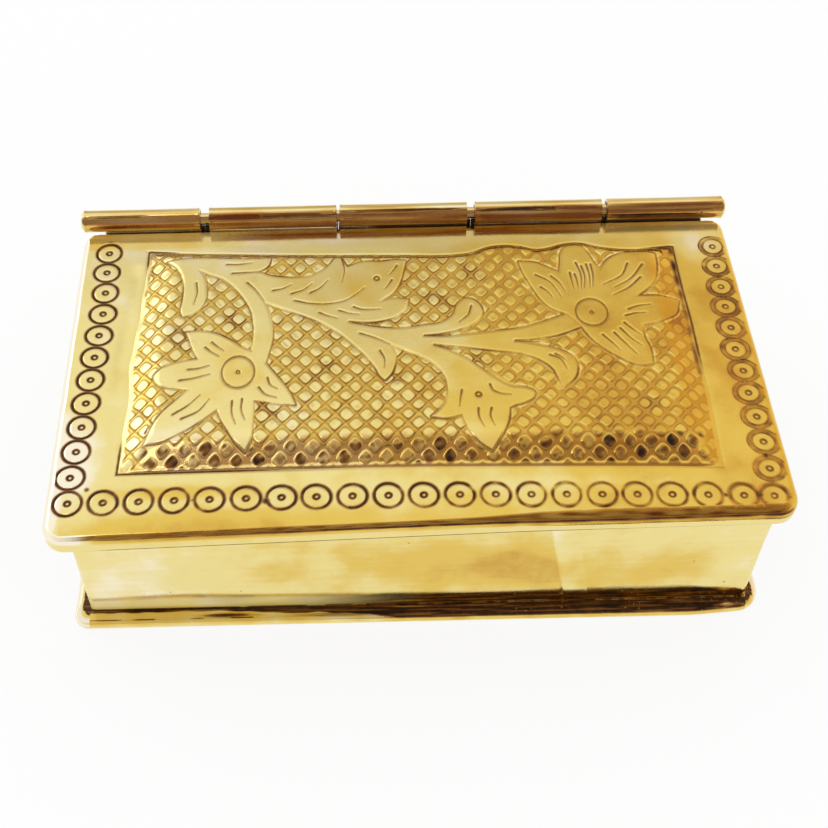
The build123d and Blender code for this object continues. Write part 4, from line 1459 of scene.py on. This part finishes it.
def white_floor():
    """The floor, just under the box: white to the camera, to mirrors and through glass,
    and pale matt paint to everything else, so that it keeps the box's shadow."""
    size = 4.0
    paint = Paint("floor_white")
    plain = paint.node("ShaderNodeBsdfDiffuse", {}, {"Color": (0.93, 0.93, 0.93, 1)})
    white = paint.node("ShaderNodeEmission", {}, {"Color": (1, 1, 1, 1)})
    to_camera, to_mirror, through_glass = paint.rays()
    share = to_camera * 0.86 + to_mirror * 0.85 + through_glass * 0.86
    floor = bpy.data.meshes.new("floor")
    floor.from_pydata([(-size, -size, 0), (size, -size, 0), (size, size, 0),
                       (-size, size, 0)], [], [(0, 1, 2, 3)])
    floor.materials.append(
        paint.finish(paint.node("ShaderNodeMixShader", {}, {0: share, 1: plain, 2: white}))
    )
    floor_object = bpy.data.objects.new("floor", floor)
    floor_object.location.z = -0.0002
    bpy.context.scene.collection.objects.link(floor_object)
    return floor_object


def dim_room():
    """The room that only mirrors see, a dome from overhead to just below the floor: white,
    but dim in front and above, duller low at the back and golden at the right of the back.
    Each stretch of it is found by how far its direction lies along a given one."""
    rings, spokes, reach = 40, 64, 3.0
    off, turn = np.meshgrid(np.radians(np.linspace(0.2, 96, rings)),
                            np.arange(spokes) * 2 * np.pi / spokes, indexing="ij")
    dome = reach * np.stack(
        [np.sin(off) * np.cos(turn), np.sin(off) * np.sin(turn), np.cos(off)], -1
    )
    room = bpy.data.meshes.new("dim_room")
    room.from_pydata(dome.reshape(-1, 3).tolist(), [],
                     quads(rings, spokes, False, True).tolist())
    paint = Paint("dim_room")
    place = paint.place()

    def toward(way):
        """1 in the given direction, nought square to it."""
        way = np.array(way) / np.linalg.norm(way) / reach
        return paint.node("ShaderNodeVectorMath", {"operation": "DOT_PRODUCT"},
                          {0: place, 1: tuple(way)}, output="Value")

    blotch = paint.noise(place, 2.2, 3, 0.6)
    fine = paint.noise(place, 5.0, 2, 0.5)
    facing = toward((0.05, -0.66, 0.75))
    rim = paint.spread(facing + (blotch - 0.5) * 0.06, 0.38, 0.68)
    depth = paint.spread(facing + (fine - 0.5) * 0.20, 0.62, 0.86)
    dim = paint.mix(depth, (0.66, 0.42, 0.36, 1), (0.26, 0.17, 0.18, 1))
    dim = paint.mix(paint.spread(blotch, 0.52, 0.64), dim, (0.07, 0.045, 0.05, 1))
    dim = paint.mix(paint.spread(fine, 0.60, 0.70), dim, (0.62, 0.44, 0.36, 1))
    low_back = paint.spread(toward((0.10, 0.90, 0.28)) + (blotch - 0.5) * 0.08, 0.80, 0.92)
    back = paint.mix(low_back, (1, 1, 1, 1), (0.62, 0.56, 0.54, 1))
    shade = paint.mix(rim, back, dim)
    corner = paint.spread(toward((0.74, 0.52, 0.42)) + (blotch - 0.5) * 0.1, 0.74, 0.98)
    shade = paint.mix(corner, shade, (0.96, 0.78, 0.50, 1))
    glow = paint.node("ShaderNodeEmission", {}, {"Color": shade, "Strength": 1.0})
    room.materials.append(paint.finish(glow))
    room_object = bpy.data.objects.new("dim_room", room)
    bpy.context.scene.collection.objects.link(room_object)
    for ray in ("camera", "diffuse", "shadow", "transmission", "volume_scatter"):
        setattr(room_object, f"visible_{ray}", False)
    return room_object


def add_lamps(window):
    """The window behind the left side and a weaker lamp overhead: discs that face the box."""
    for name, way, distance, wide, power in (
        ("window", (-0.62, 0.50, 0.60), 1.3, 0.6, window),
        ("ceiling_lamp", (-0.25, 0.12, 0.96), 1.4, 0.35, window * 0.4),
    ):
        lamp = bpy.data.lights.new(name, "AREA")
        lamp.shape, lamp.size, lamp.energy = "DISK", wide, power
        light = bpy.data.objects.new(name, lamp)
        way = np.array(way) / np.linalg.norm(way)
        flat = np.cross((0, 0, 1), way)
        flat /= np.linalg.norm(flat)
        light.matrix_world = stand(flat, np.cross(way, flat), way * distance)
        bpy.context.scene.collection.objects.link(light)


def add_world(sky):
    """The world: white to the camera, to mirrors and through glass, plain light elsewhere."""
    paint = Paint("white_room", world=True)
    to_camera, to_mirror, through_glass = paint.rays()
    seen = paint.node("ShaderNodeMath", {"operation": "MAXIMUM"}, {0: to_camera, 1: to_mirror})
    seen = paint.node("ShaderNodeMath", {"operation": "MAXIMUM"}, {0: seen, 1: through_glass})
    strength = paint.node("ShaderNodeMapRange", {},
                          {"Value": seen, "To Min": sky, "To Max": 1.0})
    background = paint.node("ShaderNodeBackground", {},
                            {"Color": (1, 1, 1, 1), "Strength": strength})
    paint.node("ShaderNodeOutputWorld", {}, {"Surface": background})
    bpy.context.scene.world = paint.block


# ---- operators ---------------------------------------------------------------------------
class PAAN_OT_lid(bpy.types.Operator):
    """The chased panel, the ringed border with its rolled edge, and the bars under it"""

    bl_idname = "paan.lid"
    bl_label = "Lid"

    def execute(self, context):
        metal = brass("lid_brass_metal", brass_shades(), 0.22, (1, 6, 1), 0.10)
        middle = PANEL_ACROSS // 2
        lid_panel("lid_panel_left", slice(0, middle + 1), metal, ("lid_sheet",))
        lid_panel("lid_panel_right", slice(middle, None), metal, ("lid_sheet",))
        lid_border("lid_border", metal, ("lid_sheet",))
        inner = brass("inner_brass_lid", brass_shades(), 0.6, (6, 1, 1), 0.26, False, 0.7)
        lid_frame("lid_bars", inner)
        return {"FINISHED"}


class PAAN_OT_walls(bpy.types.Operator):
    """The wall strip with its lapped seam, and the base plate with its rounded foot"""

    bl_idname = "paan.walls"
    bl_label = "Walls and foot"

    def execute(self, context):
        walls("walls", brass("wall_brass_metal", brass_shades(), 0.10, (1, 1, 8), 0.05))
        metal = brass("foot_brass_metal", brass_shades(), 0.4, (1, 6, 6), 0.10, bright=0.95)
        base("base_and_foot", metal)
        return {"FINISHED"}


class PAAN_OT_hinge(bpy.types.Operator):
    """Five tubes on one pin, the strip on the back wall and the tongues of the lid"""

    bl_idname = "paan.hinge"
    bl_label = "Hinge"

    def execute(self, context):
        shades = [rgb(*c) for c in HINGE_SHADES]
        metal = brass("hinge_brass_metal", shades, 0.4, (0.05, 1, 1), 0.10, bright=0.94)
        for number in range(1, 6):
            tube(number, metal)
        pin("pin", brass("pin_brass_metal", brass_shades(), 0.3, (0.05, 1, 1), 0.14, False, 0.2))
        seat, clear = TUBE_RADIUS + 0.05, PIN_RADIUS + 0.02    # a plate's hollows about the pin
        starts, ends = (np.array(side) for side in zip(*TUBES))
        reach = np.append((starts[1:] - ends[:-1]) / 2 - 0.06, 0)   # each side of a gap
        strap = []
        for k in (0, 2, 4):
            low, last = max(starts[k], -STRAP_HALF), min(ends[k], STRAP_HALF)
            if k:
                strap.append((strap[-1][1] + 0.02, low - reach[k - 1] - 0.02, WALL_TOP, seat))
                strap.append((low - reach[k - 1], low - 0.05, PLATE_TOP, clear))
            strap.append((low, last, PLATE_TOP, seat))
            if k < 4:
                strap.append((last + 0.05, last + reach[k], PLATE_TOP, clear))
        plate("hinge_strap", strap, WALL_TOP - STRAP_DEEP, WALL_Y, metal, "box",
              ("hinge_strap_body",))
        for k in (1, 3):
            spans = [(starts[k] - reach[k - 1], starts[k] - 0.05, PLATE_TOP, clear),
                     (starts[k], ends[k], PLATE_TOP, seat),
                     (ends[k] + 0.05, ends[k] + reach[k], PLATE_TOP, clear)]
            plate(f"lid_tongue_{k + 1}", spans, LID_LOW + 0.2, WALL_Y - 0.3, metal, "lid",
                  (f"hinge_tongue_{k + 1}",))
        return {"FINISHED"}


class PAAN_OT_inside(bpy.types.Operator):
    """The partitions of the box"""

    bl_idname = "paan.inside"
    bl_label = "Partitions"

    def execute(self, context):
        metal = brass("inner_brass_metal", brass_shades(), 0.6, (6, 1, 1), 0.26, False, 0.7)
        for node in ("partition_long", "partition_left", "partition_right"):
            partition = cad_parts[node]
            partition.data.materials.clear()
            partition.data.materials.append(metal)
        return {"FINISHED"}


class PAAN_OT_stage(bpy.types.Operator):
    """Camera, floor, light and the dim side of the room that the metal mirrors"""

    bl_idname = "paan.stage"
    bl_label = "Stage"

    def execute(self, context):
        settings = context.scene.paan_stage
        context.scene.view_settings.view_transform = "Standard"
        add_camera()
        floor_object = white_floor()
        room_object = dim_room()
        add_lamps(settings.window)
        add_world(settings.sky)
        return {"FINISHED"}


class PAAN_PT_panel(bpy.types.Panel):
    """The paan box's pieces, in the 3D view's sidebar"""

    bl_idname = "PAAN_PT_panel"
    bl_label = "Paan box"
    bl_space_type = "VIEW_3D"
    bl_region_type = "UI"
    bl_category = "Paan box"

    def draw(self, context):
        for made in OPERATORS:
            self.layout.operator(made.bl_idname)
        for group in GROUPS:
            settings = getattr(context.scene, group)
            for key in settings.__annotations__:
                self.layout.prop(settings, key)


OPERATORS = (PAAN_OT_lid, PAAN_OT_walls, PAAN_OT_hinge, PAAN_OT_inside, PAAN_OT_stage)
GROUPS = {
    "paan_lid": LidSizes, "paan_box": BoxSizes, "paan_colours": BoxColours,
    "paan_stage": StageSettings,
}


def register():
    for kind in (*GROUPS.values(), *OPERATORS, PAAN_PT_panel):
        bpy.utils.register_class(kind)
    for name, kind in GROUPS.items():
        setattr(bpy.types.Scene, name, bpy.props.PointerProperty(type=kind))


def unregister():
    for name in GROUPS:
        delattr(bpy.types.Scene, name)
    for kind in reversed((*GROUPS.values(), *OPERATORS, PAAN_PT_panel)):
        bpy.utils.unregister_class(kind)


def main():
    """Register the add-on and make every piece."""
    register()
    bpy.ops.paan.lid()
    bpy.ops.paan.walls()
    bpy.ops.paan.hinge()
    bpy.ops.paan.inside()
    bpy.ops.paan.stage()


if __name__ == "__main__":
    main()
